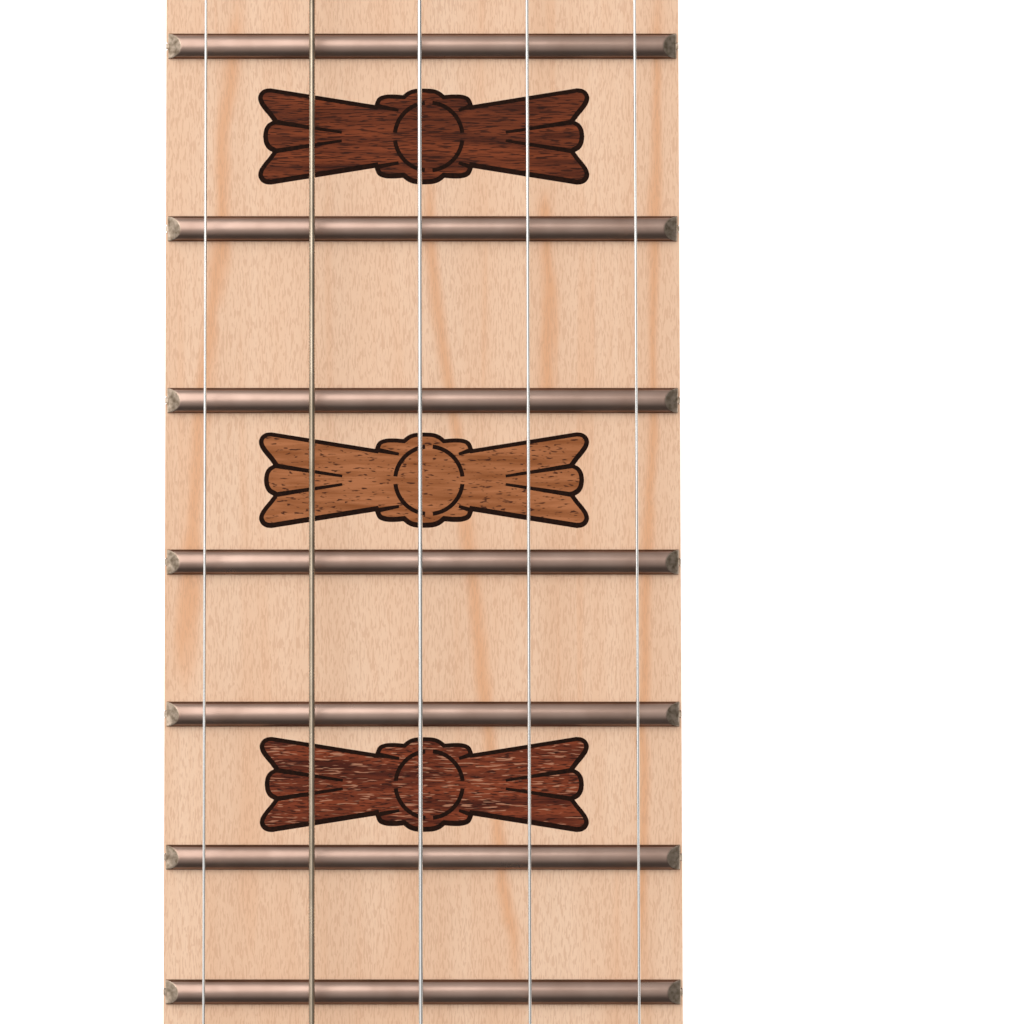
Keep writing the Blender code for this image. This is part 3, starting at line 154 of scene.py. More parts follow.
@dataclass(frozen=True)
class Wood:
    """Planed and sanded wood: broad tone, fine grain lines, short flecks or pores, faint streaks."""

    name: str
    light: str
    dark: str
    fleck: str
    streak: str
    grain: Grain = Grain.ALONG_NECK
    tone_width: float = 5.0 * MM
    tone_length: float = 90.0 * MM
    line_width: float = 0.45 * MM
    line_length: float = 22.0 * MM
    line_strength: float = 0.35
    fleck_width: float = 0.16 * MM
    fleck_length: float = 1.1 * MM
    fleck_share: float = 0.42  # noise above 1 minus this becomes a fleck
    fleck_strength: float = 0.35
    waviness: float = 0.0  # how far the grain's lines bend out of true
    streak_width: float = 2.2 * MM
    streak_length: float = 70.0 * MM
    streak_strength: float = 0.25
    roughness: float = 0.42
    coat: float = 0.0
    gloss: float = 0.3  # Specular IOR Level
    laminations: float = 0.0  # thickness of a ply, where plies show
    dash: str = ""  # colour of light dashes, where there are any
    warm_bands: tuple[tuple[float, float, float, float, float], ...] = ()  # x, y at each end; width

    def material(self) -> bpy.types.Material:
        """Build the node tree: satin lacquer over wood, whose grain gives a slight relief."""
        material, tree, shader = new_material(
            self.name, Coat_Weight=self.coat, Coat_Roughness=0.35, IOR=1.5, Specular_IOR_Level=self.gloss
        )
        place = add_node(tree, "ShaderNodeTexCoord").outputs["Object"]
        if self.grain is Grain.ROUND_POT:
            place, radius = self.round_place(tree, place)

        def noise(width: float, length: float, detail: float, offset: float = 0.0) -> bpy.types.NodeSocket:
            """Noise drawn out along the grain."""
            scale = (1 / width, 1 / length, 1 / width)
            if self.grain is Grain.ACROSS_NECK:
                scale = (1 / length, 1 / width, 1 / width)
            inputs = {"Vector": place, "Scale": scale, "Location": (offset, offset, offset)}
            stretched = add_node(tree, "ShaderNodeMapping", {}, inputs).outputs[0]
            inputs = {"Vector": stretched, "Scale": 1.0, "Detail": detail, "Distortion": self.waviness}
            return add_node(tree, "ShaderNodeTexNoise", {}, inputs).outputs[0]

        def lay(
            over: str, under: bpy.types.NodeSocket, value: bpy.types.NodeSocket, low: float, high: float, most: float
        ) -> bpy.types.NodeSocket:
            """Lay a colour over another: none where value is under low, most of it over high."""
            inputs = {0: value, 1: low, 2: high, 3: 0.0, 4: most}
            share = add_node(tree, "ShaderNodeMapRange", {"interpolation_type": "SMOOTHSTEP"}, inputs).outputs[0]
            inputs = {0: share, 6: under, 7: linear(over)}
            return add_node(tree, "ShaderNodeMix", {"data_type": "RGBA"}, inputs).outputs[2]

        tone = noise(self.tone_width, self.tone_length, 3.0)
        stops = [(0.32, self.dark), (0.62, self.light)]
        colour = add_node(tree, "ShaderNodeValToRGB", {"stops": stops}, {0: tone}).outputs[0]
        lines = noise(self.line_width, self.line_length, 2.0)
        colour = lay(self.dark, colour, lines, 0.5, 0.75, self.line_strength)
        streaks = noise(self.streak_width, self.streak_length, 1.0)
        colour = lay(self.streak, colour, streaks, 0.58, 0.74, self.streak_strength)
        wobble = noise(6 * MM, 18 * MM, 3.0, 7.0)
        for warm_band in self.warm_bands:
            colour = lay(self.streak, colour, self.nearness(tree, place, wobble, warm_band), 0.0, 1.0, 0.6)
        flecks = noise(self.fleck_width, self.fleck_length, 1.0)
        edge = 1 - self.fleck_share
        colour = lay(self.fleck, colour, flecks, edge, edge + 0.1, self.fleck_strength)
        if self.dash:
            dashes = noise(1.3 * self.fleck_width, 1.6 * self.fleck_length, 1.0, 3.0)
            colour = lay(self.dash, colour, dashes, 0.6, 0.68, 0.75)
        if self.laminations:
            inputs = {0: radius, 1: self.laminations / 2}
            middles = add_node(tree, "ShaderNodeMath", {"operation": "ADD"}, inputs).outputs[0]
            inputs = {0: middles, 1: self.laminations / 2}
            plies = add_node(tree, "ShaderNodeMath", {"operation": "PINGPONG"}, inputs)
            glue = add_node(tree, "ShaderNodeMath", {"operation": "LESS_THAN"}, {0: plies.outputs[0], 1: 0.12 * MM})
            colour = lay(self.fleck, colour, glue.outputs[0], 0.0, 1.0, 1.0)
        tree.links.new(colour, shader.inputs["Base Color"])
        rough = {0: lines, 1: 0.3, 2: 0.7, 3: self.roughness - 0.05, 4: self.roughness + 0.06}
        tree.links.new(add_node(tree, "ShaderNodeMapRange", {}, rough).outputs[0], shader.inputs["Roughness"])
        relief = {"Strength": 0.25, "Distance": 0.02 * MM, "Height": flecks}
        tree.links.new(add_node(tree, "ShaderNodeBump", {}, relief).outputs[0], shader.inputs["Normal"])
        return material

    def nearness(
        self,
        tree: bpy.types.NodeTree,
        place: bpy.types.NodeSocket,
        wobble: bpy.types.NodeSocket,
        warm_band: tuple[float, float, float, float, float],
    ) -> bpy.types.NodeSocket:
        """Tell how near a place is to a warm band, which wanders a little.

        Args:
            tree: the node tree.
            place: object coordinates.
            wobble: noise that the band wanders by.
            warm_band: x and y of its start and end, and its width.

        Returns:
            One on the band's line, and zero past its width and past its ends.
        """
        start, end, width = Vector(warm_band[:2]), Vector(warm_band[2:4]), warm_band[4]
        way = end - start
        fade = 0.12  # share of its length in which each end fades out
        from_start = add_node(
            tree, "ShaderNodeVectorMath", {"operation": "SUBTRACT"}, {0: place, 1: (*start, 0.0)}
        ).outputs[0]
        inputs = {0: from_start, 1: (*(way / way.length_squared), 0.0)}
        along = add_node(tree, "ShaderNodeVectorMath", {"operation": "DOT_PRODUCT"}, inputs).outputs[1]
        middle = add_node(tree, "ShaderNodeMath", {"operation": "SUBTRACT"}, {0: along, 1: 0.5}).outputs[0]
        past = add_node(tree, "ShaderNodeMath", {"operation": "ABSOLUTE"}, {0: middle}).outputs[0]
        ends = add_node(tree, "ShaderNodeMapRange", {}, {0: past, 1: 0.5, 2: 0.5 - fade, 3: 0.0, 4: 1.0}).outputs[0]
        inputs = {0: from_start, 1: (*way.orthogonal().normalized(), 0.0)}
        aside = add_node(tree, "ShaderNodeVectorMath", {"operation": "DOT_PRODUCT"}, inputs).outputs[1]
        inputs = {0: wobble, 1: 2.5 * width, 2: aside}
        aside = add_node(tree, "ShaderNodeMath", {"operation": "MULTIPLY_ADD"}, inputs).outputs[0]
        aside = add_node(tree, "ShaderNodeMath", {"operation": "SUBTRACT"}, {0: aside, 1: 1.25 * width}).outputs[0]
        aside = add_node(tree, "ShaderNodeMath", {"operation": "ABSOLUTE"}, {0: aside}).outputs[0]
        near = add_node(tree, "ShaderNodeMapRange", {}, {0: aside, 1: width, 2: 0.0, 3: 0.0, 4: 1.0}).outputs[0]
        return add_node(tree, "ShaderNodeMath", {"operation": "MULTIPLY"}, {0: near, 1: ends}).outputs[0]

    def round_place(
        self, tree: bpy.types.NodeTree, place: bpy.types.NodeSocket
    ) -> tuple[bpy.types.NodeSocket, bpy.types.NodeSocket]:
        """Unroll object coordinates round the pot's axis.

        Args:
            tree: the node tree.
            place: object coordinates.

        Returns:
            Coordinates with the way round the pot as Y, and the radius past the rim's inner face.
        """
        centred = add_node(
            tree, "ShaderNodeVectorMath", {"operation": "SUBTRACT"}, {0: place, 1: (0.0, Pot.centre_y, 0.0)}
        )
        split = add_node(tree, "ShaderNodeSeparateXYZ", {}, {0: centred.outputs[0]}).outputs
        turn = add_node(tree, "ShaderNodeMath", {"operation": "ARCTAN2"}, {0: split[1], 1: split[0]})
        way = add_node(tree, "ShaderNodeMath", {"operation": "MULTIPLY"}, {0: turn.outputs[0], 1: Pot.rim_outer})
        flat = add_node(tree, "ShaderNodeCombineXYZ", {}, {0: split[0], 1: split[1], 2: 0.0})
        length = add_node(tree, "ShaderNodeVectorMath", {"operation": "LENGTH"}, {0: flat.outputs[0]})
        inputs = {0: length.outputs[1], 1: Pot.rim_outer - Pot.rim_wall}
        past = add_node(tree, "ShaderNodeMath", {"operation": "SUBTRACT"}, inputs).outputs[0]
        unrolled = add_node(tree, "ShaderNodeCombineXYZ", {}, {0: split[2], 1: way.outputs[0], 2: past})
        return unrolled.outputs[0], past


@dataclass(frozen=True)
class Metal:
    """Drawn, plated or polished metal with faint smudges and fine scratches."""

    name: str
    colour: str
    smudge: str
    roughness: float
    scratch_width: float = 0.12 * MM
    scratch_length: float = 5.0 * MM
    scratch_depth: float = 0.003 * MM
    cloud: float = 4.0 * MM  # size of the smudges

    def material(self) -> bpy.types.Material:
        """Build the node tree: even metal whose polish varies a little."""
        material, tree, shader = new_material(self.name, Metallic=1.0)
        place = add_node(tree, "ShaderNodeTexCoord").outputs["Object"]
        inputs = {"Vector": place, "Scale": 1 / self.cloud, "Detail": 3.0}
        cloud = add_node(tree, "ShaderNodeTexNoise", {}, inputs).outputs[0]
        stops = [(0.35, self.colour), (0.7, self.smudge)]
        colour = add_node(tree, "ShaderNodeValToRGB", {"stops": stops}, {0: cloud}).outputs[0]
        tree.links.new(colour, shader.inputs["Base Color"])
        inputs = {0: cloud, 1: 0.3, 2: 0.75, 3: self.roughness, 4: self.roughness + 0.06}
        tree.links.new(add_node(tree, "ShaderNodeMapRange", {}, inputs).outputs[0], shader.inputs["Roughness"])
        if not self.scratch_depth:
            return material
        scale = (1 / self.scratch_length, 1 / self.scratch_width, 1 / self.scratch_width)
        stretched = add_node(tree, "ShaderNodeMapping", {}, {"Vector": place, "Scale": scale}).outputs[0]
        lines = add_node(tree, "ShaderNodeTexNoise", {}, {"Vector": stretched, "Scale": 1.0}).outputs[0]
        inputs = {"Strength": 0.5, "Distance": self.scratch_depth, "Height": lines}
        tree.links.new(add_node(tree, "ShaderNodeBump", {}, inputs).outputs[0], shader.inputs["Normal"])
        return material


@dataclass(frozen=True)
class Matt:
    """Bone, frosted film or scorched wood: a mottled surface with no strong gloss."""

    name: str
    colour: str
    mottle: str
    roughness: float
    speckle: float  # size of the mottling
    relief: float = 0.01 * MM
    subsurface: float = 0.0
    gloss: float = 0.5  # Specular IOR Level

    def material(self) -> bpy.types.Material:
        """Build the node tree: two tones of mottling and a fine tooth."""
        material, tree, shader = new_material(
            self.name, Roughness=self.roughness, Subsurface_Weight=self.subsurface, Subsurface_Scale=MM,
            Specular_IOR_Level=self.gloss,
        )
        place = add_node(tree, "ShaderNodeTexCoord").outputs["Object"]
        inputs = {"Vector": place, "Scale": 1 / self.speckle, "Detail": 4.0}
        cloud = add_node(tree, "ShaderNodeTexNoise", {}, inputs).outputs[0]
        stops = [(0.3, self.colour), (0.75, self.mottle)]
        colour = add_node(tree, "ShaderNodeValToRGB", {"stops": stops}, {0: cloud}).outputs[0]
        tree.links.new(colour, shader.inputs["Base Color"])
        inputs = {"Strength": 0.4, "Distance": self.relief, "Height": cloud}
        tree.links.new(add_node(tree, "ShaderNodeBump", {}, inputs).outputs[0], shader.inputs["Normal"])
        return material


@functools.lru_cache(maxsize=None)
def dressed(finish: Wood | Metal | Matt) -> bpy.types.Material:
    """Give the one material of a finish."""
    return finish.material()


# Hard maple, planed and lacquered: creamy pink, with short wavy ray flecks and a few warm streaks
BOARD_MAPLE = Wood(
    "hard_maple_satin", "#f2cdae", "#eabf9d", "#cf9c7a", "#df9c68", fleck_width=0.13 * MM,
    fleck_length=0.95 * MM, fleck_share=0.5, fleck_strength=0.4, waviness=0.6, streak_strength=0.2,
    warm_bands=(
        (-16.6 * MM, -52.0 * MM, -22.3 * MM, -122.0 * MM, 1.3 * MM),
        (0.0 * MM, -66.0 * MM, 8.9 * MM, -150.0 * MM, 1.1 * MM),
        (11.0 * MM, -72.0 * MM, 11.9 * MM, -94.0 * MM, 1.2 * MM),
        (21.5 * MM, -50.0 * MM, 20.0 * MM, -150.0 * MM, 0.9 * MM),
        (-9.0 * MM, 40.0 * MM, -13.0 * MM, 170.0 * MM, 1.2 * MM),
        (6.0 * MM, 10.0 * MM, 9.0 * MM, 120.0 * MM, 1.0 * MM),
    ),
)
# Maple under oil: warmer and a little darker than the board
NECK_MAPLE = Wood("hard_maple_oiled", "#dcb486", "#cb9c69", "#b0804f", "#bd8a55", coat=0.3, roughness=0.36)
# Maple plies bent round and glued: grain runs round the pot, thin glue lines on the edges
RIM_MAPLE = Wood(
    "laminated_maple", "#d9ae7e", "#c49262", "#8a5c38", "#b88550", Grain.ROUND_POT, coat=0.3, roughness=0.36,
    laminations=14.0 / 3 * MM,
)
# Walnut, dark reddish brown, with dark grain lines across the neck
WALNUT = Wood(
    "black_walnut", "#803c1e", "#491d0b", "#220b03", "#672c15", Grain.ACROSS_NECK,
    tone_width=0.9 * MM, tone_length=12 * MM, line_width=0.2 * MM, line_length=4 * MM, line_strength=0.8,
    fleck_width=0.12 * MM, fleck_length=1.3 * MM, fleck_share=0.48, fleck_strength=0.8, waviness=0.3,
    streak_width=0.5 * MM, streak_length=9 * MM, roughness=0.5, gloss=0.12,
)
# Mahogany: tan brown with short dark pores
MAHOGANY = Wood(
    "mahogany", "#b27047", "#8c5029", "#38170a", "#9d5e36", Grain.ACROSS_NECK,
    tone_width=0.7 * MM, tone_length=7 * MM, line_width=0.18 * MM, line_length=2.5 * MM, line_strength=0.6,
    fleck_width=0.19 * MM, fleck_length=0.7 * MM, fleck_share=0.4, fleck_strength=0.9, waviness=0.3,
    streak_width=0.5 * MM, streak_length=6 * MM, roughness=0.5, gloss=0.12,
)
# Walnut of a redder cut, with fine pinkish dashes between its dark ones
RED_WALNUT = Wood(
    "red_walnut", "#863d22", "#4a1a0c", "#240a03", "#6d2f19", Grain.ACROSS_NECK,
    tone_width=0.9 * MM, tone_length=10 * MM, line_width=0.2 * MM, line_length=3 * MM, line_strength=0.7,
    fleck_width=0.12 * MM, fleck_length=0.9 * MM, fleck_share=0.46, fleck_strength=0.8, waviness=0.3,
    streak_width=0.5 * MM, streak_length=8 * MM, roughness=0.5, gloss=0.12, dash="#bd8466",
)
# Nickel silver wire, polished: a warm, slightly pink grey metal
FRET_METAL = Metal("nickel_silver", "#a38a7d", "#92796c", 0.27, scratch_depth=0.001 * MM)
# Nickel silver as the file leaves it on a fret's end: duller, with fine marks
FILED_METAL = Metal("filed_nickel_silver", "#cdb8a3", "#85735f", 0.33, 0.1 * MM, 0.6 * MM, 0.03 * MM, 0.5 * MM)
# Tarnish and old polish where a fret meets the board, with the shade of the gap under the fret painted in too: a dark
# brown line
TARNISH_AND_GAP_SHADE = Metal("tarnish_and_painted_gap_shade", "#6e5142", "#543c2f", 0.5)
# Nickel plating on brass: bright, slightly yellow
NICKEL = Metal("nickel_plate", "#dad6cd", "#d1ccc2", 0.13, 0.3 * MM, 5.0 * MM, 0.001 * MM, 14.0 * MM)
# Steel rod, turned and polished
STEEL = Metal("bright_steel", "#dedddb", "#d3d1ce", 0.2, cloud=14.0 * MM)
# Music wire, drawn through a die: a mirror-bright plain string
MUSIC_WIRE = Metal("drawn_music_wire", "#f4f3f0", "#e6e4e0", 0.12, scratch_depth=0.0)
# Bronze winding wire, dulled by playing to a greyish beige
BRONZE = Metal("phosphor_bronze", "#c2b19c", "#9c8d78", 0.26, scratch_depth=0.0)
# Bone: ivory white, slightly waxy
BONE = Matt("bone", "#ece2c8", "#ddd0b0", 0.35, 2.5 * MM, subsurface=0.1)
# Polyester film with a sprayed frosting: white with a sandy tooth
FROSTED = Matt("frosted_film", "#f1f0ea", "#e6e5dd", 0.62, 0.5 * MM, relief=0.03 * MM)
# Wood scorched by the cutter at an inlay's edge and in its lines
SCORCHED = Matt("scorched_wood", "#150803", "#2a140a", 0.8, 0.3 * MM, gloss=0.1)
# Ebony, rubbed smooth: near black, with a soft gloss
EBONY = Matt("ebony", "#1c1714", "#2a211c", 0.4, 1.5 * MM)


def fillet(points: list, radius: float, steps: int = 4, closed: bool = True) -> list[Vector]:
    """Round the corners of a line.

    Args:
        points: corners, in two or three dimensions.
        radius: how far from a corner the curve starts.
        steps: straight pieces in each curve.
        closed: whether the last point joins the first.

    Returns:
        Points of the rounded line.
    """
    corners = [Vector(point) for point in points]
    result = []
    for index, corner in enumerate(corners):
        if not closed and index in (0, len(corners) - 1):
            result.append(corner)
            continue
        before = corners[index - 1] - corner
        after = corners[(index + 1) % len(corners)] - corner
        reach = min(radius, 0.45 * before.length, 0.45 * after.length)
        start = corner + before.normalized() * reach
        end = corner + after.normalized() * reach
        for step in range(steps + 1):
            share = step / steps
            result.append(start.lerp(corner, share).lerp(corner.lerp(end, share), share))
    return result


def smooth_line(points: list[tuple[float, float]], per_span: int = 5) -> list[Vector]:
    """Draw a Catmull-Rom curve.

    Args:
        points: places it passes through.
        per_span: straight pieces between two of them.

    Returns:
        Points of the curve, both ends included.
    """
    places = [Vector(point) for point in points]
    result = []
    for index in range(len(places) - 1):
        before, start = places[max(index - 1, 0)], places[index]
        end, after = places[index + 1], places[min(index + 2, len(places) - 1)]
        for step in range(per_span):
            t = step / per_span
            spread = (end - before) * t + (2 * before - 5 * start + 4 * end - after) * t**2
            bend = (3 * start - before - 3 * end + after) * t**3
            result.append(start + (spread + bend) / 2)
    return result + [places[-1]]


def spun(points: list, steps: int = 48, closed: bool = False) -> bmesh.types.BMesh:
    """Turn a profile round Z.

    Args:
        points: (radius, height) places.
        steps: facets round the axis.
        closed: whether the profile is a loop, which gives a ring.

    Returns:
        The turned shape.
    """
    shape = bmesh.new()
    verts = [shape.verts.new((point[0], 0.0, point[1])) for point in points]
    pairs = list(zip(verts, verts[1:]))
    if closed:
        pairs.append((verts[-1], verts[0]))
    edges = [shape.edges.new(pair) for pair in pairs]
    bmesh.ops.spin(
        shape, geom=verts + edges, cent=(0, 0, 0), axis=(0, 0, 1), angle=2 * math.pi, steps=steps, use_merge=True
    )
    bmesh.ops.remove_doubles(shape, verts=shape.verts, dist=0.001 * MM)
    bmesh.ops.recalc_face_normals(shape, faces=shape.faces)
    return shape


def slab(outline: list, bottom: float, top: float) -> bmesh.types.BMesh:
    """Extrude a flat outline.

    Args:
        outline: (x, y) places.
        bottom: height of the lower face.
        top: height of the upper face.

    Returns:
        The solid, with its upper face last in its list of faces.
    """
    shape = bmesh.new()
    verts = [shape.verts.new((point[0], point[1], bottom)) for point in outline]
    base = shape.faces.new(verts)
    raised = bmesh.ops.extrude_face_region(shape, geom=[base], use_keep_orig=True)
    moved = [item for item in raised["geom"] if isinstance(item, bmesh.types.BMVert)]
    bmesh.ops.translate(shape, vec=(0, 0, top - bottom), verts=moved)
    bmesh.ops.recalc_face_normals(shape, faces=shape.faces)
    return shape


def bar(radius: float, start: Vector, end: Vector, sides: int = 32, corner: float = 0.0) -> bmesh.types.BMesh:
    """Make a straight bar.

    Args:
        radius: radius to its corners.
        start: middle of one end.
        end: middle of the other end.
        sides: facets round it.
        corner: width of the bevel at its ends.

    Returns:
        The bar.
    """
    start, end = Vector(start), Vector(end)
    axis = end - start
    shape = bmesh.new()
    bmesh.ops.create_cone(
        shape, cap_ends=True, segments=sides, radius1=radius, radius2=radius, depth=axis.length
    )
    if corner:
        rims = [edge for edge in shape.edges if abs(edge.verts[0].co.z - edge.verts[1].co.z) < 0.5 * corner]
        bmesh.ops.bevel(
            shape, geom=rims, offset=corner, segments=3, profile=0.5, affect="EDGES", material=-1
        )
    turned = Vector((0, 0, 1)).rotation_difference(axis).to_matrix().to_4x4()
    bmesh.ops.transform(shape, matrix=Matrix.Translation((start + end) / 2) @ turned, verts=shape.verts)
    return shape


def soften(shape: bmesh.types.BMesh, width: float, segments: int = 3, angle: float = 40.0) -> None:
    """Bevel a shape's sharp edges.

    Args:
        shape: what is bevelled, in place.
        width: how far the bevel reaches.
        segments: facets across it.
        angle: least angle in degrees of an edge that counts as sharp.
    """
    sharp = [edge for edge in shape.edges if edge.calc_face_angle(0) > math.radians(angle)]
    bmesh.ops.bevel(
        shape, geom=sharp, offset=width, segments=segments, profile=0.5, affect="EDGES", material=-1,
        clamp_overlap=True,
    )


def wire(
    points: list, radius: float, radii: list[float] | None = None, sides: int = 12, loop: bool = False
) -> bmesh.types.BMesh:
    """Run a round wire along a line.

    Args:
        points: places it passes through.
        radius: its radius.
        radii: its thickness at each place as a share of the radius.
        sides: facets round it, a multiple of four.
        loop: whether it closes on itself.

    Returns:
        The wire as a shape.
    """
    curve = bpy.data.curves.new("wire", "CURVE")
    curve.dimensions = "3D"
    curve.fill_mode = "FULL"
    curve.bevel_depth = radius
    curve.bevel_resolution = sides // 2 - 2
    curve.use_fill_caps = not loop
    line = curve.splines.new("POLY")
    line.points.add(len(points) - 1)
    for index, (point, place) in enumerate(zip(line.points, points)):
        point.co = (*place, 1.0)
        point.radius = radii[index] if radii else 1.0
    line.use_cyclic_u = loop
    holder = bpy.data.objects.new("wire", curve)
    bpy.context.scene.collection.objects.link(holder)
    bpy.context.view_layer.update()
    mesh = bpy.data.meshes.new_from_object(holder.evaluated_get(bpy.context.evaluated_depsgraph_get()))
    bpy.data.objects.remove(holder, do_unlink=True)
    shape = bmesh.new()
    shape.from_mesh(mesh)
    bpy.data.meshes.remove(mesh)
    bmesh.ops.remove_doubles(shape, verts=shape.verts, dist=0.0005 * MM)
    bmesh.ops.recalc_face_normals(shape, faces=shape.faces)
    return shape


def gather(shapes: list[bmesh.types.BMesh], places: list[Matrix] | None = None) -> bmesh.types.BMesh:
    """Put several shapes in one.

    Args:
        shapes: the shapes; the same one may come more than once.
        places: where each goes.

    Returns:
        One shape that holds them all.
    """
    whole = bmesh.new()
    for index, shape in enumerate(shapes):
        mesh = bpy.data.meshes.new("part")
        shape.to_mesh(mesh)
        if places:
            mesh.transform(places[index])
        whole.from_mesh(mesh)
        bpy.data.meshes.remove(mesh)
    return whole


def settle(
    name: str,
    shape: bmesh.types.BMesh,
    finishes: list,
    body: str = FIXED,
    stands_for: tuple[str, ...] = (),
    place: Matrix = Matrix.Identity(4),
    crease: float = 35.0,
) -> bpy.types.Object:
    """Make a finished shape a piece of the banjo.

    Args:
        name: the piece's name.
        shape: its shape, freed afterwards.
        finishes: its finishes, by material number.
        body: the CAD body that it rides on.
        stands_for: CAD nodes that it replaces.
        place: where the shape goes.
        crease: least angle in degrees of an edge that stays sharp.

    Returns:
        The new object.
    """
    bmesh.ops.transform(shape, matrix=place, verts=shape.verts)
    mesh = bpy.data.meshes.new(name)
    shape.to_mesh(mesh)
    shape.free()
    mesh.shade_smooth()
    mesh.set_sharp_from_angle(angle=math.radians(crease))
    for finish in finishes:
        mesh.materials.append(dressed(finish))
    piece = bpy.data.objects.new(name, mesh)
    bpy.context.scene.collection.objects.link(piece)
    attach(piece, body)
    if stands_for:
        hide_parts(*stands_for)
    LOG.info("%s: %d faces", name, len(mesh.polygons))
    return piece


def paint(node: str, finish: Wood | Metal | Matt) -> None:
    """Dress a CAD node whose own shape shows."""
    piece = frame["nodes"][node]
    for holder in piece.material_slots:
        holder.material = dressed(finish)
    LOG.info("%s: dressed", node)


def eased_copy(
    node: str, finish: Wood | Metal | Matt, body: str = FIXED, width: float = 0.2 * MM
) -> bpy.types.Object:
    """Show a CAD node with smooth faces and eased edges.

    Args:
        node: the node.
        finish: its finish.
        body: the body that it rides on.
        width: how far its edges are eased.

    Returns:
        The piece that stands for the node.
    """
    shape = bmesh.new()
    shape.from_mesh(frame["nodes"][node].data)
    bmesh.ops.remove_doubles(shape, verts=shape.verts, dist=0.002 * MM)
    bmesh.ops.dissolve_limit(shape, angle_limit=math.radians(0.5), verts=shape.verts, edges=shape.edges)
    piece = settle(node + "_piece", shape, [finish], body, (node,))
    ease = piece.modifiers.new("Eased edges", "BEVEL")
    ease.width = width
    ease.segments = 2
    ease.limit_method = "ANGLE"
    ease.angle_limit = math.radians(35)
    ease.harden_normals = True
    return piece


@dataclass(frozen=True)
class NeckPlan:
    """Where things lie along the neck: Y runs from the bridge to the nut, Z out of the board."""

    bridge_y: float = -0.356565
    plane_z: float = 0.0796
    pitch: float = math.radians(1.730669)
    scale_length: float = 0.66675
    board_end: float = 0.1788
    width_at_nut: float = 42.2 * MM
    width_at_end: float = 48.3 * MM
    spacing_at_bridge: float = 10.5 * MM
    spacing_at_nut: float = 8.8 * MM
    rise_at_bridge: float = 7.0 * MM
    rise_at_nut: float = 1.7 * MM
    first_to_edge: float = 3.9 * MM
    fifth_to_edge: float = 3.6 * MM
    pip_past_fret: float = 3.15 * MM

    @property
    def place(self) -> Matrix:
        """Matrix from the neck's frame to the banjo's."""
        return Matrix.Translation((0, self.bridge_y, self.plane_z)) @ Matrix.Rotation(-self.pitch, 4, "X")

    def fret(self, number: int) -> float:
        """Distance of a fret from the bridge, in equal temperament."""
        return self.scale_length * 2 ** (-number / 12)

    def treble_edge(self, y: float) -> float:
        """X of the board's edge beside the first string."""
        share = (y - self.board_end) / (self.scale_length - self.board_end)
        return (self.width_at_end + (self.width_at_nut - self.width_at_end) * share) / 2

    def rise(self, y: float) -> float:
        """Height of the strings over the board's plane."""
        return self.rise_at_bridge + (self.rise_at_nut - self.rise_at_bridge) * y / self.scale_length

    def string_x(self, string: int, y: float) -> float:
        """X of a string at a distance from the bridge."""
        start = (3 - string) * self.spacing_at_bridge
        if string == 5:
            pip = self.fret(5) + self.pip_past_fret
            return start + (self.fifth_to_edge - self.treble_edge(pip) - start) * y / pip
        end = self.treble_edge(self.scale_length) - self.first_to_edge - (string - 1) * self.spacing_at_nut
        return start + (end - start) * y / self.scale_length


NECK = NeckPlan()


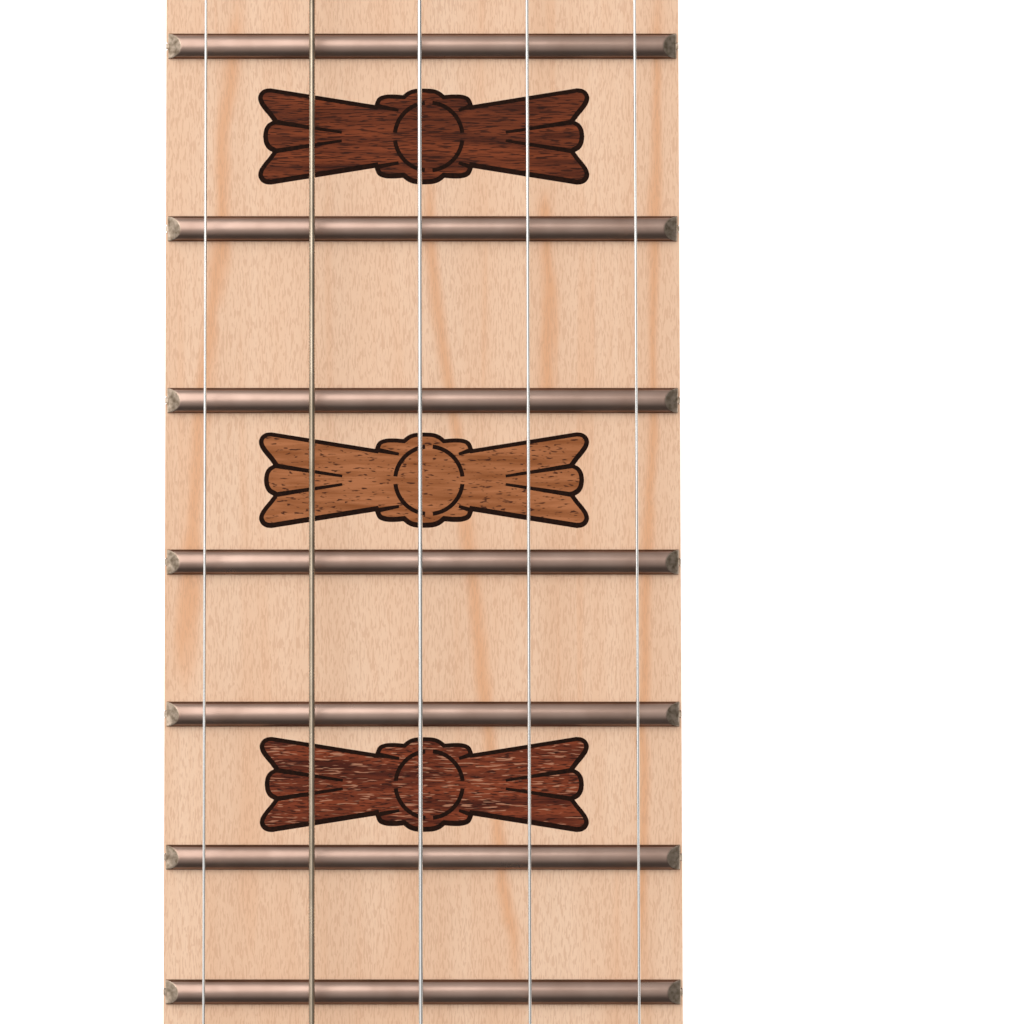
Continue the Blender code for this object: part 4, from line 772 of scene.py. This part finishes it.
@dataclass
class Fingerboard:
    """Maple board with its frets, inlays and nuts."""

    wire_width: float = 2.3 * MM
    wire_height: float = 1.1 * MM
    wire_lift: float = 0.1 * MM
    wire_end: float = 1.4 * MM  # how far the filed slope of an end reaches in
    tang_thickness: float = 0.5 * MM
    tang_depth: float = 1.7 * MM
    crown_facets: int = 24
    foot_facets: int = 4  # how many of them on each side get the dark foot line: tarnish, plus painted shade of the gap under the fret
    inlay_thickness: float = 1.4 * MM
    scorch_width: float = 0.43 * MM
    scorch_shift: float = 0.05 * MM  # how much wider the scorch is below than above
    line_width: float = 0.46 * MM
    bed_lift: float = 0.006 * MM  # how far each layer of an inlay stands over the board
    bow_lift: float = 0.014 * MM
    line_lift: float = 0.022 * MM
    bed_margin: float = 0.4 * MM
    towards_nut: float = 0.1 * MM
    aside: float = 0.12 * MM
    arc_width: float = 0.38 * MM
    circle_radius: float = 3.1 * MM
    circle_x: float = 0.45 * MM
    circle_gap: float = math.radians(13)
    inlay_frets: tuple[int, ...] = (5, 7, 10, 12, 15, 17, 19)
    woods: dict = field(
        default_factory=lambda: {
            5: (WALNUT, Slot.WALNUT),
            7: (MAHOGANY, Slot.MAHOGANY),
            10: (RED_WALNUT, Slot.WALNUT),
            12: (WALNUT, Slot.WALNUT),
            15: (WALNUT, Slot.WALNUT),
            17: (MAHOGANY, Slot.MAHOGANY),
            19: (RED_WALNUT, Slot.WALNUT),
        }
    )

    def build(self) -> None:
        """Make every piece of the board."""
        paint("fingerboard", BOARD_MAPLE)
        for number in range(1, 23):
            self.fret(number)
        for number in self.inlay_frets:
            self.inlay(number)
        eased_copy("nut", BONE, width=0.3 * MM)
        eased_copy("fifth_string_nut", BONE, width=0.15 * MM)

    def fret(self, number: int) -> None:
        """Make one fret: a round crown over the board, with its ends filed to a slope."""
        name = f"fret_{number:02d}"
        low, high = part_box(name)
        half, rise = self.wire_width / 2, self.wire_height - self.wire_lift
        angles = [math.pi * step / self.crown_facets for step in range(self.crown_facets + 1)]
        section = [(half * math.cos(angle), self.wire_lift + rise * math.sin(angle)) for angle in angles]
        shape = bmesh.new()
        y = NECK.fret(number)
        verts = [shape.verts.new((low.x, y + across, height)) for across, height in section]
        end = shape.faces.new(verts)
        far = bmesh.ops.extrude_face_region(shape, geom=[end], use_keep_orig=True)
        moved = [item for item in far["geom"] if isinstance(item, bmesh.types.BMVert)]
        bmesh.ops.translate(shape, vec=(high.x - low.x, 0, 0), verts=moved)
        middle = (low.x + high.x) / 2
        for vertex in shape.verts:
            slope = self.wire_end * vertex.co.z / self.wire_height
            vertex.co.x += slope if vertex.co.x < middle else -slope
        bmesh.ops.recalc_face_normals(shape, faces=shape.faces)
        foot = half * math.cos(math.pi * self.foot_facets / self.crown_facets)
        for face in shape.faces:
            centre = face.calc_center_median()
            if len(face.verts) > 4:
                face.material_index = 1
            # the outer facets at each foot take the dark line: tarnish plus painted shade of the gap under the fret
            elif abs(centre.y - y) > foot:
                face.material_index = 2
        rims = [edge for edge in shape.edges if abs(edge.verts[0].co.x - edge.verts[1].co.x) < self.wire_end]
        bmesh.ops.bevel(
            shape, geom=rims, offset=0.1 * MM, segments=2, profile=0.5, affect="EDGES", material=-1
        )
        tang = bmesh.new()
        bmesh.ops.create_cube(tang, size=1.0)
        size = (high.x - low.x, self.tang_thickness, self.tang_depth + self.wire_lift + 0.1 * MM)
        bmesh.ops.scale(tang, vec=size, verts=tang.verts)
        bmesh.ops.translate(tang, vec=(middle, y, size[2] / 2 - self.tang_depth), verts=tang.verts)
        for face in tang.faces:
            face.material_index = 1
        whole = gather([shape, tang])
        finishes = [FRET_METAL, FILED_METAL, TARNISH_AND_GAP_SHADE]
        settle(name + "_wire", whole, finishes, stands_for=(name,), place=NECK.place, crease=50)

    def bow(self) -> list[Vector]:
        """Outline of the bow: lobed ends, straight wings and a lobed middle."""
        lobe = smooth_line([(0.0, 4.38), (0.85, 4.33), (1.45, 4.12), (1.9, 3.78)])
        shoulder = smooth_line([(1.9, 3.78), (2.7, 3.84), (3.55, 3.8), (4.2, 3.52), (4.5, 2.88)])
        tip = smooth_line([
            (14.0, 4.4), (14.5, 4.34), (14.92, 4.08), (15.15, 3.6), (15.05, 3.05), (14.7, 2.5), (14.2, 1.9)
        ])
        middle = smooth_line([(13.85, 1.42), (14.3, 1.14), (14.6, 0.64), (14.7, 0.0)])
        quarter = lobe + shoulder[1:] + tip + middle
        right = quarter + [Vector((p.x, -p.y)) for p in reversed(quarter[:-1])]
        left = [Vector((-p.x, -p.y)) for p in right[1:-1]]
        return [p * MM for p in right + left]

    def strokes(self) -> list[list[Vector]]:
        """Outlines of the scorched lines: two in each wing, four at the wreath and four arcs."""
        shapes = []
        for side in (1, -1):
            for up in (1, -1):
                notch, point = Vector((13.8 * side, 1.36 * up)), Vector((7.5 * side, 0.38 * up))
                shapes.append(self.taper(notch * MM, point * MM, self.line_width, 0.25 * MM))
                corner, inner = Vector((4.4 * side, 2.8 * up)), Vector((self.circle_x / MM + 2.75 * side, 2.4 * up))
                shapes.append(self.taper(corner * MM, inner * MM, self.line_width, 0.28 * MM))
                shapes.append(self.arc(side, up))
        return shapes

    def taper(self, start: Vector, end: Vector, wide: float, narrow: float) -> list[Vector]:
        """Outline of a stroke that narrows from start to end."""
        across = (end - start).orthogonal().normalized()
        return [
            start + across * wide / 2, start - across * wide / 2, end - across * narrow / 2, end + across * narrow / 2
        ]

    def arc(self, side: int, up: int) -> list[Vector]:
        """Outline of a quarter of the circle, with a gap at each end."""
        angles = [self.circle_gap / 2 + (math.pi / 2 - self.circle_gap) * step / 10 for step in range(11)]
        ways = [Vector((side * math.cos(a), up * math.sin(a))) for a in angles]
        centre = Vector((self.circle_x, 0))
        outer, inner = self.circle_radius + self.arc_width / 2, self.circle_radius - self.arc_width / 2
        return [centre + way * outer for way in ways] + [centre + way * inner for way in reversed(ways)]

    def inlay(self, number: int) -> None:
        """Make one inlay: the bow with its scorched edge, and the lines in it."""
        name = f"inlay_{number:02d}"
        finish, slot = self.woods[number]
        low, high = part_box(name)
        y = (NECK.fret(number - 1) + NECK.fret(number)) / 2 + self.towards_nut
        place = NECK.place @ Matrix.Translation(((low.x + high.x) / 2 + self.aside, y, 0))
        across, along = (high.x - low.x) / 2 + self.bed_margin, (high.y - low.y) / 2 + self.bed_margin
        bed = slab([(-across, -along), (across, -along), (across, along), (-across, along)], -0.1 * MM, self.bed_lift)
        settle(name + "_bed", bed, [BOARD_MAPLE], place=place)
        shape = slab(self.bow(), -self.inlay_thickness, self.bow_lift)
        shape.faces.ensure_lookup_table()
        top = max(shape.faces, key=lambda face: face.calc_center_median().z)
        rim = bmesh.ops.inset_region(shape, faces=[top], thickness=self.scorch_width, use_even_offset=True)
        for face in rim["faces"]:
            face.material_index = 1
        bmesh.ops.translate(shape, vec=(0, self.scorch_shift, 0), verts=top.verts)
        settle(name + "_bow", shape, [finish, SCORCHED], stands_for=(name,), place=place)
        lines = [slab(outline, -self.line_width, self.line_lift) for outline in self.strokes()]
        settle(name + "_lines", gather(lines), [SCORCHED], place=place)


@dataclass
class Strings:
    """Five strings with their loops, and their windings on the posts."""

    diameters: tuple[float, ...] = (0.254 * MM, 0.305 * MM, 0.406 * MM, 0.584 * MM, 0.254 * MM)
    pin_spacing: float = 7.6 * MM
    pin_y: float = -110.2 * MM  # from the pot's axis
    pin_z: float = 77.9 * MM
    pin_radius: float = 1.2 * MM
    pin_height: float = 3.4 * MM
    lip_y: float = -94.2 * MM
    lip_z: float = 77.42 * MM
    lip_radius: float = 1.6 * MM
    gap: float = 0.3 * MM
    nut_thickness: float = 5.0 * MM
    nut_fall: float = 0.6 * MM
    post_waist: float = 4.8 * MM
    sleeve_waist: float = 5.4 * MM
    sleeve_middle: float = 7.06 * MM
    winding_height: float = 7.5 * MM
    hole_height: float = 11.5 * MM
    turns: float = 3.5
    rib_pitch: float = 0.3 * MM  # twice the real winding's, so that it shows
    loop_wrap: float = 9.0 * MM

    def build(self) -> None:
        """Make the strings, their loops and their windings."""
        for string in range(1, 6):
            radius = self.diameters[string - 1] / 2
            finish, slot = (BRONZE, Slot.BRONZE) if string == 4 else (MUSIC_WIRE, Slot.STEEL)
            points = self.route(string, radius)
            radii = None
            if string == 4:
                points, radii = self.ribbed(points)
            shape = wire(points, radius, radii, sides=8 if radii else 16)
            settle(f"string_{string}_wire", shape, [finish], stands_for=(f"string_{string}",), crease=80)
            self.loop(string, radius, points[0], points[1] if not radii else points[40])
            self.winding(string, radius, finish)

    def route(self, string: int, radius: float) -> list[Vector]:
        """Places that a string runs through, from its tail pin to its post."""
        front = Pot.centre_y + self.pin_y + self.pin_radius + self.gap
        start = Vector(((3 - string) * self.pin_spacing, front, self.pin_z + 0.4 * self.pin_height))
        saddle = NECK.place @ Vector((NECK.string_x(string, 0), 0, NECK.rise(0)))
        lip_y = Pot.centre_y + self.lip_y
        over = start.lerp(saddle, (lip_y - start.y) / (saddle.y - start.y))
        over.z = self.lip_z + self.lip_radius + self.gap + radius
        points = [start, over, saddle]
        if string == 5:
            pip = NECK.fret(5) + NECK.pip_past_fret
            points.append(NECK.place @ Vector((NECK.string_x(5, pip), pip, NECK.rise(pip))))
            goal = post_frame(5) @ Vector((self.sleeve_waist / 2 + radius, 0, self.sleeve_middle))
        else:
            x, y = NECK.string_x(string, NECK.scale_length), NECK.scale_length
            points.append(NECK.place @ Vector((x, y + 0.3 * self.nut_thickness, NECK.rise_at_nut)))
            points.append(NECK.place @ Vector((x, y + self.nut_thickness, NECK.rise_at_nut - self.nut_fall)))
            inward = -1 if string < 3 else 1
            beside = inward * (self.post_waist / 2 + radius)
            goal = post_frame(string) @ Vector((beside, 0, self.winding_height))
        return points + [goal]

    def ribbed(self, points: list[Vector]) -> tuple[list[Vector], list[float]]:
        """Split a route at every half rib, and give the wire's thickness there."""
        places, radii = [], []
        for start, end in zip(points, points[1:]):
            count = max(2, 2 * round((end - start).length / self.rib_pitch))
            for step in range(count):
                places.append(start.lerp(end, step / count))
                radii.append(1.0 if step % 2 else 0.84)
        return places + [points[-1]], radii + [0.84]

    def loop(self, string: int, radius: float, start: Vector, following: Vector) -> None:
        """Make the string's end: a loop round its pin and the wire wrapped back on itself."""
        core = min(radius, 0.15 * MM)
        ring = self.pin_radius + core + 0.05 * MM
        centre = Vector((start.x, start.y - self.gap - self.pin_radius, start.z))
        angles = [2 * math.pi * step / 32 for step in range(32)]
        circle = [centre + Vector((ring * math.cos(a), ring * math.sin(a), 0)) for a in angles]
        forward = (following - start).normalized()
        side = forward.cross(Vector((0, 0, 1))).normalized()
        lift = side.cross(forward)
        pitch = 2.2 * core
        count = round(self.loop_wrap / pitch) * 8
        wrap = []
        for step in range(count + 1):
            angle = 2 * math.pi * step / 8
            around = side * math.cos(angle) + lift * math.sin(angle)
            wrap.append(start + forward * (pitch * step / 8) + around * (radius + core))
        shapes = [wire(circle, core, loop=True, sides=8), wire(wrap, core, sides=8)]
        settle(f"string_{string}_loop", gather(shapes), [MUSIC_WIRE], crease=80)

    def winding(self, string: int, radius: float, finish: Metal) -> None:
        """Make the turns on the post, and the end that comes out of its hole."""
        place = post_frame(string)
        pitch = 2.1 * radius
        if string == 5:
            around, height, climb, sense, first = self.sleeve_waist / 2, self.sleeve_middle, 0.0, 1, 0.0
        else:
            around, height = self.post_waist / 2, self.winding_height
            climb = self.hole_height - height - self.turns * pitch
            sense, first = (-1, math.pi) if string < 3 else (1, 0.0)
        per_turn = 32
        count = round(self.turns * per_turn)
        points = []
        for step in range(count + 1):
            angle = first + sense * 2 * math.pi * step / per_turn
            reach = around + radius
            points.append(Vector((reach * math.cos(angle), reach * math.sin(angle), height + pitch * step / per_turn)))
        if climb:
            for step in range(1, per_turn // 2 + 1):
                angle = first + sense * 2 * math.pi * (count + step) / per_turn
                rise = height + self.turns * pitch + climb * step / (per_turn // 2)
                points.append(Vector((reach * math.cos(angle), reach * math.sin(angle), rise)))
            inside = Vector((0, 0, self.hole_height))
            points += [inside, inside * 2 - points[-1] + (inside - points[-1]).normalized() * 2 * MM]
        settle(
            f"string_{string}_winding", wire(points, radius, sides=8), [finish], POST_BODIES[string], crease=80,
            place=place,
        )


POST_BODIES = {string: f"post_{string}" for string in range(1, 6)}
BUTTON_BODIES = {string: f"button_{string}" for string in range(1, 6)}


@functools.lru_cache(maxsize=None)
def post_frame(string: int) -> Matrix:
    """Frame of a string's post: Z along its axis, Y along the neck or the peghead."""
    joint = next(item for item in frame["joints"] if item["child"] == POST_BODIES[string])
    axis = Vector(joint["axis"]).normalized()
    if string == 5:
        along = NECK.place.to_3x3() @ Vector((0, 1, 0))
        across = along.cross(axis).normalized()
    else:
        across = Vector((1, 0, 0))
    along = axis.cross(across)
    return Matrix.Translation(joint["pos_m"]) @ Matrix((across, along, axis)).transposed().to_4x4()


@dataclass
class Pot:
    """Rim, head, tension hoop with hooks, band with shoes, and rod."""

    centre_y = -0.317546
    rim_outer = 139.7 * MM
    rim_wall = 14.0 * MM
    rim_depth: float = 70.0 * MM
    edge_drop: float = 2.5 * MM
    gap: float = 0.3 * MM
    film: float = 0.4 * MM
    flesh_width: float = 3.9 * MM
    flesh_height: float = 4.0 * MM
    flesh_below: float = 9.7 * MM
    hoop_thickness: float = 5.5 * MM
    hoop_below: float = 0.4 * MM
    hook_count: int = 16
    hook_radius: float = 2.1 * MM
    hook_circle: float = 148.8 * MM
    hook_crest: float = 0.6 * MM
    nut_radius: float = 4.1 * MM
    nut_length: float = 12.0 * MM
    shoe_bottom: float = 38.0 * MM
    shoe_eye: float = 8.0 * MM
    shoe_foot: float = 18.0 * MM
    shoe_width: float = 10.0 * MM
    shoe_nose: float = 153.4 * MM
    foot_thickness: float = 3.5 * MM
    band_inner: float = 140.0 * MM
    band_thickness: float = 1.2 * MM
    band_bottom: float = 41.0 * MM
    band_height: float = 12.0 * MM
    ring_steps: int = 192

    @property
    def place(self) -> Matrix:
        """Matrix from the pot's axis to the banjo's frame."""
        return Matrix.Translation((0, self.centre_y, 0))

    def all_round(self, shape: bmesh.types.BMesh) -> bmesh.types.BMesh:
        """Repeat a shape at every hook."""
        pitch = 2 * math.pi / self.hook_count
        turns = [Matrix.Rotation((i + 0.5) * pitch - math.pi / 2, 4, "Z") for i in range(self.hook_count)]
        return gather([shape] * self.hook_count, turns)

    def build(self) -> None:
        """Make every piece of the pot."""
        self.rim()
        self.head()
        self.hoop()
        self.band()
        eased_copy("coordinator_rod", STEEL, width=0.3 * MM)

    def rim(self) -> None:
        """Turn the rim, with its rounded bearing edge and eased back edges."""
        inner = self.rim_outer - self.rim_wall
        corners = [
            (self.rim_outer - 0.25 * self.rim_wall, self.rim_depth),
            (self.rim_outer, self.rim_depth - self.edge_drop),
            (self.rim_outer, 0.0),
            (inner, 0.0),
            (inner, self.rim_depth - 2 * self.edge_drop),
        ]
        shape = spun(fillet(corners, 1.2 * MM), self.ring_steps, closed=True)
        settle("rim_shell", shape, [RIM_MAPLE], stands_for=("rim",), place=self.place)

    def head(self) -> None:
        """Turn the head: film over the bearing edge, and its flesh hoop."""
        top = self.rim_depth + self.gap + self.film
        skirt = self.rim_outer + self.gap
        flesh_top = top - self.flesh_below
        outside = [
            (0.0, top), (skirt + self.film - 1.2 * MM, top), (skirt + self.film, top - 2.4 * MM),
            (skirt + self.film, flesh_top), (skirt + self.flesh_width, flesh_top),
            (skirt + self.flesh_width, flesh_top - self.flesh_height), (skirt, flesh_top - self.flesh_height),
            (skirt, top - 3 * MM), (skirt - 1.2 * MM, top - self.film), (0.0, top - self.film),
        ]
        shape = spun(fillet(outside, 0.5 * MM, closed=False), self.ring_steps)
        settle("head_film", shape, [FROSTED], stands_for=("head",), place=self.place)

    def hoop(self) -> None:
        """Turn the tension hoop, and bend the hooks with their long nuts."""
        top = self.rim_depth + self.gap + self.film - self.hoop_below
        inner = self.rim_outer + self.film + 2 * self.gap
        outer = inner + self.hoop_thickness
        bottom = top + self.hoop_below - self.flesh_below + self.gap
        section = [(outer, top), (outer, bottom), (inner, bottom), (inner, top)]
        ring = spun(fillet(section, 0.9 * MM), self.ring_steps, closed=True)
        settle("hoop_ring", ring, [NICKEL], stands_for=("tension_hoop",), place=self.place)
        nut_top = self.shoe_bottom - self.gap
        corners = [
            (outer - 0.75 * self.hoop_thickness, 0, top - self.hook_radius),
            (outer - 0.55 * self.hoop_thickness, 0, top + self.hook_crest),
            (self.hook_circle, 0, top + self.hook_crest),
            (self.hook_circle, 0, nut_top - 0.5 * self.nut_length),
        ]
        bend = fillet(corners, 3.5 * MM, steps=8, closed=False)
        hooks = self.all_round(wire(bend, self.hook_radius, sides=16))
        settle("hoop_hooks", hooks, [NICKEL], place=self.place)
        nut = bar(
            self.nut_radius, (self.hook_circle, 0, nut_top), (self.hook_circle, 0, nut_top - self.nut_length), 6,
            corner=0.5 * MM,
        )
        settle("hoop_hook_nuts", self.all_round(nut), [NICKEL], place=self.place, crease=20)

    def band(self) -> None:
        """Turn the band, and cast the shoes on it."""
        outer = self.band_inner + self.band_thickness
        top = self.band_bottom + self.band_height
        section = [(outer, top), (outer, self.band_bottom), (self.band_inner, self.band_bottom), (self.band_inner, top)]
        ring = spun(fillet(section, 0.3 * MM), self.ring_steps, closed=True)
        settle("band_ring", ring, [NICKEL], stands_for=("bracket_band",), place=self.place)
        foot = outer + self.foot_thickness
        eye = self.shoe_bottom + self.shoe_eye
        high = self.shoe_bottom + self.shoe_foot
        side = [
            (self.band_inner + 0.6 * MM, self.shoe_bottom), (self.shoe_nose, self.shoe_bottom), (self.shoe_nose, eye),
            (foot + 1.8 * MM, eye + 1.2 * MM), (foot, high), (self.band_inner + 0.6 * MM, high),
        ]
        shape = slab(fillet(side, 1.6 * MM), -self.shoe_width / 2, self.shoe_width / 2)
        bmesh.ops.transform(shape, matrix=Matrix.Rotation(math.pi / 2, 4, "X"), verts=shape.verts)
        soften(shape, 1.0 * MM)
        settle("band_shoes", self.all_round(shape), [NICKEL], place=self.place)


@dataclass
class Tuners:
    """Four sealed tuners on the peghead and the geared fifth one."""

    peghead: float = 14.0 * MM
    gap: float = 0.3 * MM
    post_radius: float = 3.0 * MM
    post_waist: float = 2.4 * MM
    post_height: float = 17.0 * MM
    hex_radius: float = 7.2 * MM
    hex_height: float = 2.6 * MM
    housing_width: float = 17.0 * MM
    housing_length: float = 21.5 * MM
    housing_depth: float = 10.0 * MM
    worm_offset: float = 8.8 * MM
    shaft_radius: float = 2.0 * MM
    collar_radius: float = 3.8 * MM
    collar_length: float = 3.0 * MM
    button_length: float = 16.0 * MM
    button_width: float = 18.0 * MM
    button_thickness: float = 6.5 * MM
    knob_start: float = 17.5 * MM
    flange_seat: float = 0.95 * MM
    drum_radius: float = 7.0 * MM
    drum_length: float = 9.5 * MM
    sleeve_length: float = 10.0 * MM
    sleeve_rim: float = 4.1 * MM
    sleeve_waist: float = 2.7 * MM
    flange_thickness: float = 1.4 * MM
    spigot_radius: float = 2.8 * MM

    def build(self) -> None:
        """Make every tuner."""
        for string in range(1, 5):
            self.housing(string)
            self.post(string)
            depth = self.peghead + self.gap + self.housing_depth / 2
            side = 1 if string < 3 else -1
            worm = post_frame(string) @ Matrix.Translation((0, self.worm_offset, -depth))
            worm = worm @ Matrix.Rotation(side * math.pi / 2, 4, "Y")
            start = self.housing_width / 2 - 5 * MM
            self.button(string, worm, self.shaft_radius, start, self.knob_start, f"tuner_{string}_button")
        self.fifth()

    def housing(self, string: int) -> None:
        """Make the gear housing, its collar, and the bushing with its washer at the front."""
        side = 1 if string < 3 else -1
        top = -self.peghead - self.gap
        half, length = self.housing_width / 2, self.housing_length / 2
        middle = self.worm_offset / 2
        corners = [(half, middle + length), (-half, middle + length), (-half, middle - length), (half, middle - length)]
        case = slab(fillet(corners, 4.5 * MM, steps=8), top - self.housing_depth, top)
        soften(case, 1.2 * MM, 4)
        worm_z = top - self.housing_depth / 2
        collar = bar(
            self.collar_radius, (side * (half - MM), self.worm_offset, worm_z),
            (side * (half + self.collar_length), self.worm_offset, worm_z), corner=0.5 * MM,
        )
        name = f"tuner_{string}_housing"
        place = post_frame(string)
        settle(name + "_case", gather([case, collar]), [NICKEL], stands_for=(name,), place=place)
        nut = bar(self.hex_radius, (0, 0, 0.8 * MM), (0, 0, self.gap + self.hex_height), 6, corner=0.4 * MM)
        washer = bar(self.hex_radius + 0.2 * MM, (0, 0, 0.1 * MM), (0, 0, 0.8 * MM), 48, corner=0.15 * MM)
        settle(name + "_bushing", gather([nut, washer]), [NICKEL], place=place, crease=25)

    def post(self, string: int) -> None:
        """Turn the string post."""
        shoulder = self.gap + self.hex_height + MM
        corners = [
            (0.0, self.post_height), (self.post_radius, self.post_height),
            (self.post_radius, self.post_height - 3.0 * MM), (self.post_waist, self.post_height - 4.2 * MM),
            (self.post_waist, shoulder + 1.2 * MM), (self.post_radius, shoulder),
            (self.post_radius, -self.peghead), (0.0, -self.peghead),
        ]
        name = f"tuner_{string}_post"
        shape = spun(fillet(corners, 0.7 * MM, closed=False))
        settle(name + "_turned", shape, [NICKEL], POST_BODIES[string], (name,), post_frame(string))

    def button(self, string: int, place: Matrix, shaft: float, start: float, knob: float, node: str) -> None:
        """Make a button: a pillowed oval knob on its shaft, with a wider collar where the shaft enters it."""
        outline = []
        for step in range(40):
            angle = 2 * math.pi * step / 40
            fullness = 0.88 - 0.12 * math.cos(angle)
            along = knob + self.button_length * (1 - math.cos(angle)) / 2
            outline.append((self.button_width / 2 * fullness * math.sin(angle), along))
        shape = slab(outline, -self.button_thickness / 2, self.button_thickness / 2)
        soften(shape, 1.9 * MM, 5)
        turned = Matrix(((0, 0, 1, 0), (1, 0, 0, 0), (0, 1, 0, 0), (0, 0, 0, 1)))
        bmesh.ops.transform(shape, matrix=turned, verts=shape.verts)
        stem = bar(shaft, (0, 0, start), (0, 0, knob + 2 * MM))
        neck = bar(1.5 * shaft, (0, 0, knob - 1.2 * MM), (0, 0, knob + 2 * MM), corner=0.4 * MM)
        whole = gather([shape, stem, neck])
        settle(node + "_knob", whole, [NICKEL], BUTTON_BODIES[string], (node,), place, 50)

    def fifth(self) -> None:
        """Make the fifth tuner: flange and gear drum, string sleeve, button."""
        place = post_frame(5)
        seat = self.flange_seat
        flange = seat + self.flange_thickness
        start = flange + self.sleeve_length
        end = start + self.drum_length
        corners = [
            (0.0, end), (self.drum_radius, end), (self.drum_radius, start), (1.8 * MM, start), (1.8 * MM, flange),
            (4.4 * MM, flange), (4.4 * MM, seat), (self.spigot_radius, seat), (self.spigot_radius, -14 * MM),
            (0.0, -14 * MM),
        ]
        shape = spun(fillet(corners, 0.8 * MM, closed=False))
        name = "fifth_tuner_housing"
        settle(name + "_drum", shape, [NICKEL], stands_for=(name,), place=place)
        low, high = flange + self.gap, start - self.gap
        corners = [
            (2.1 * MM, high), (self.sleeve_rim, high), (self.sleeve_rim, high - 0.8 * MM),
            (self.sleeve_waist, high - 1.6 * MM), (self.sleeve_waist, low + 1.6 * MM),
            (self.sleeve_rim, low + 0.8 * MM), (self.sleeve_rim, low), (2.1 * MM, low),
        ]
        sleeve = spun(fillet(corners, 0.3 * MM), closed=True)
        settle("fifth_tuner_sleeve", sleeve, [NICKEL], "post_5", ("fifth_tuner_post",), place)
        self.button(5, place, 1.5 * MM, end - 4 * MM, end + MM, "fifth_tuner_button")


@dataclass
class Woodwork:
    """Neck, bridge and tailpiece."""

    cap_height: float = 1.8 * MM

    def build(self) -> None:
        """Dress the neck, the bridge with its cap, and the tailpiece."""
        eased_copy("neck", NECK_MAPLE, width=0.5 * MM)
        self.cap(eased_copy("bridge", BOARD_MAPLE, width=0.25 * MM))
        eased_copy("tailpiece", NICKEL, width=0.25 * MM)

    def cap(self, bridge: bpy.types.Object) -> None:
        """Make the top of the bridge ebony.

        Args:
            bridge: the bridge, whose top lies level.
        """
        shape = bmesh.new()
        shape.from_mesh(bridge.data)
        seam = max(vertex.co.z for vertex in shape.verts) - self.cap_height
        geometry = list(shape.verts) + list(shape.edges) + list(shape.faces)
        bmesh.ops.bisect_plane(shape, geom=geometry, plane_co=(0, 0, seam), plane_no=(0, 0, 1))
        bridge.data.materials.append(dressed(EBONY))
        for face in shape.faces:
            if face.calc_center_median().z > seam:
                face.material_index = 1
        shape.to_mesh(bridge.data)
        shape.free()


@dataclass
class Studio:
    """Pale floor, soft light and the camera over the fingerboard."""

    view_x: float = 8.2 * MM
    view_y: float = 254.35 * MM
    view_width: float = 94.06 * MM
    view_tilt: float = math.radians(3.1)
    lens: float = 200.0
    sensor: float = 36.0
    floor_reach: float = 30.0  # far enough for low views

    def build(self) -> None:
        """Set up floor, lights and camera."""
        self.floor()
        self.sky()
        self.lamp("key", (-0.4, 0.4, 0.72), 0.9, 5.4)
        self.camera()

    def floor(self) -> None:
        """Lay a wide white floor just under the rim."""
        shape = bmesh.new()
        bmesh.ops.create_grid(shape, x_segments=1, y_segments=1, size=self.floor_reach)
        bmesh.ops.translate(shape, vec=(0, 0, -0.5 * MM), verts=shape.verts)
        mesh = bpy.data.meshes.new("floor")
        shape.to_mesh(mesh)
        shape.free()
        material, _, shader = new_material("studio_paper", Roughness=0.9, Emission_Strength=0.6)
        shader.inputs["Base Color"].default_value = linear("#f7f7f7")
        shader.inputs["Emission Color"].default_value = linear("#ffffff")
        mesh.materials.append(material)
        floor = bpy.data.objects.new("floor", mesh)
        bpy.context.scene.collection.objects.link(floor)

    def sky(self) -> None:
        """Light the room softly, brighter above the peghead's bass side than opposite."""
        world = bpy.data.worlds.new("soft_room")
        bpy.context.scene.world = world
        world.use_nodes = True
        tree = world.node_tree
        way = add_node(tree, "ShaderNodeTexCoord").outputs["Generated"]
        bright = Vector((-0.35, 0.5, 0.79)).normalized()
        facing = add_node(tree, "ShaderNodeVectorMath", {"operation": "DOT_PRODUCT"}, {0: way, 1: bright})
        inputs = {0: facing.outputs[1], 1: 0.25, 2: 0.78, 3: 0.14, 4: 0.95}
        strength = add_node(tree, "ShaderNodeMapRange", {}, inputs).outputs[0]
        tree.links.new(strength, tree.nodes["Background"].inputs["Strength"])
        tree.nodes["Background"].inputs["Color"].default_value = linear("#ffffff")

    def lamp(self, name: str, offset: tuple[float, float, float], size: float, power: float) -> None:
        """Hang a square soft light, aimed at the middle of the view."""
        data = bpy.data.lights.new(name, "AREA")
        data.shape = "SQUARE"
        data.size = size
        data.energy = power
        lamp = bpy.data.objects.new(name, data)
        bpy.context.scene.collection.objects.link(lamp)
        target = NECK.place @ Vector((self.view_x, self.view_y, 0))
        lamp.location = target + Vector(offset)
        lamp.rotation_euler = (-Vector(offset)).to_track_quat("-Z", "Y").to_euler()

    def camera(self) -> None:
        """Look straight down on the board, with the nut towards the top of the picture."""
        data = bpy.data.cameras.new("camera")
        data.lens = self.lens
        data.sensor_width = self.sensor
        data.clip_start = 0.01
        camera = bpy.data.objects.new("camera", data)
        bpy.context.scene.collection.objects.link(camera)
        distance = self.view_width * self.lens / self.sensor
        target = NECK.place @ Matrix.Translation((self.view_x, self.view_y, 0))
        tilt = Matrix.Rotation(-self.view_tilt, 4, "X")
        camera.matrix_world = target @ tilt @ Matrix.Translation((0, 0, distance))
        bpy.context.scene.camera = camera
        bpy.context.scene.view_settings.view_transform = "Standard"


def main() -> None:
    """Build the banjo's looks."""
    logging.basicConfig(level=logging.INFO, format="%(message)s")
    for part in (Studio(), Fingerboard(), Strings(), Pot(), Tuners(), Woodwork()):
        part.build()


if __name__ == "__main__":
    main()
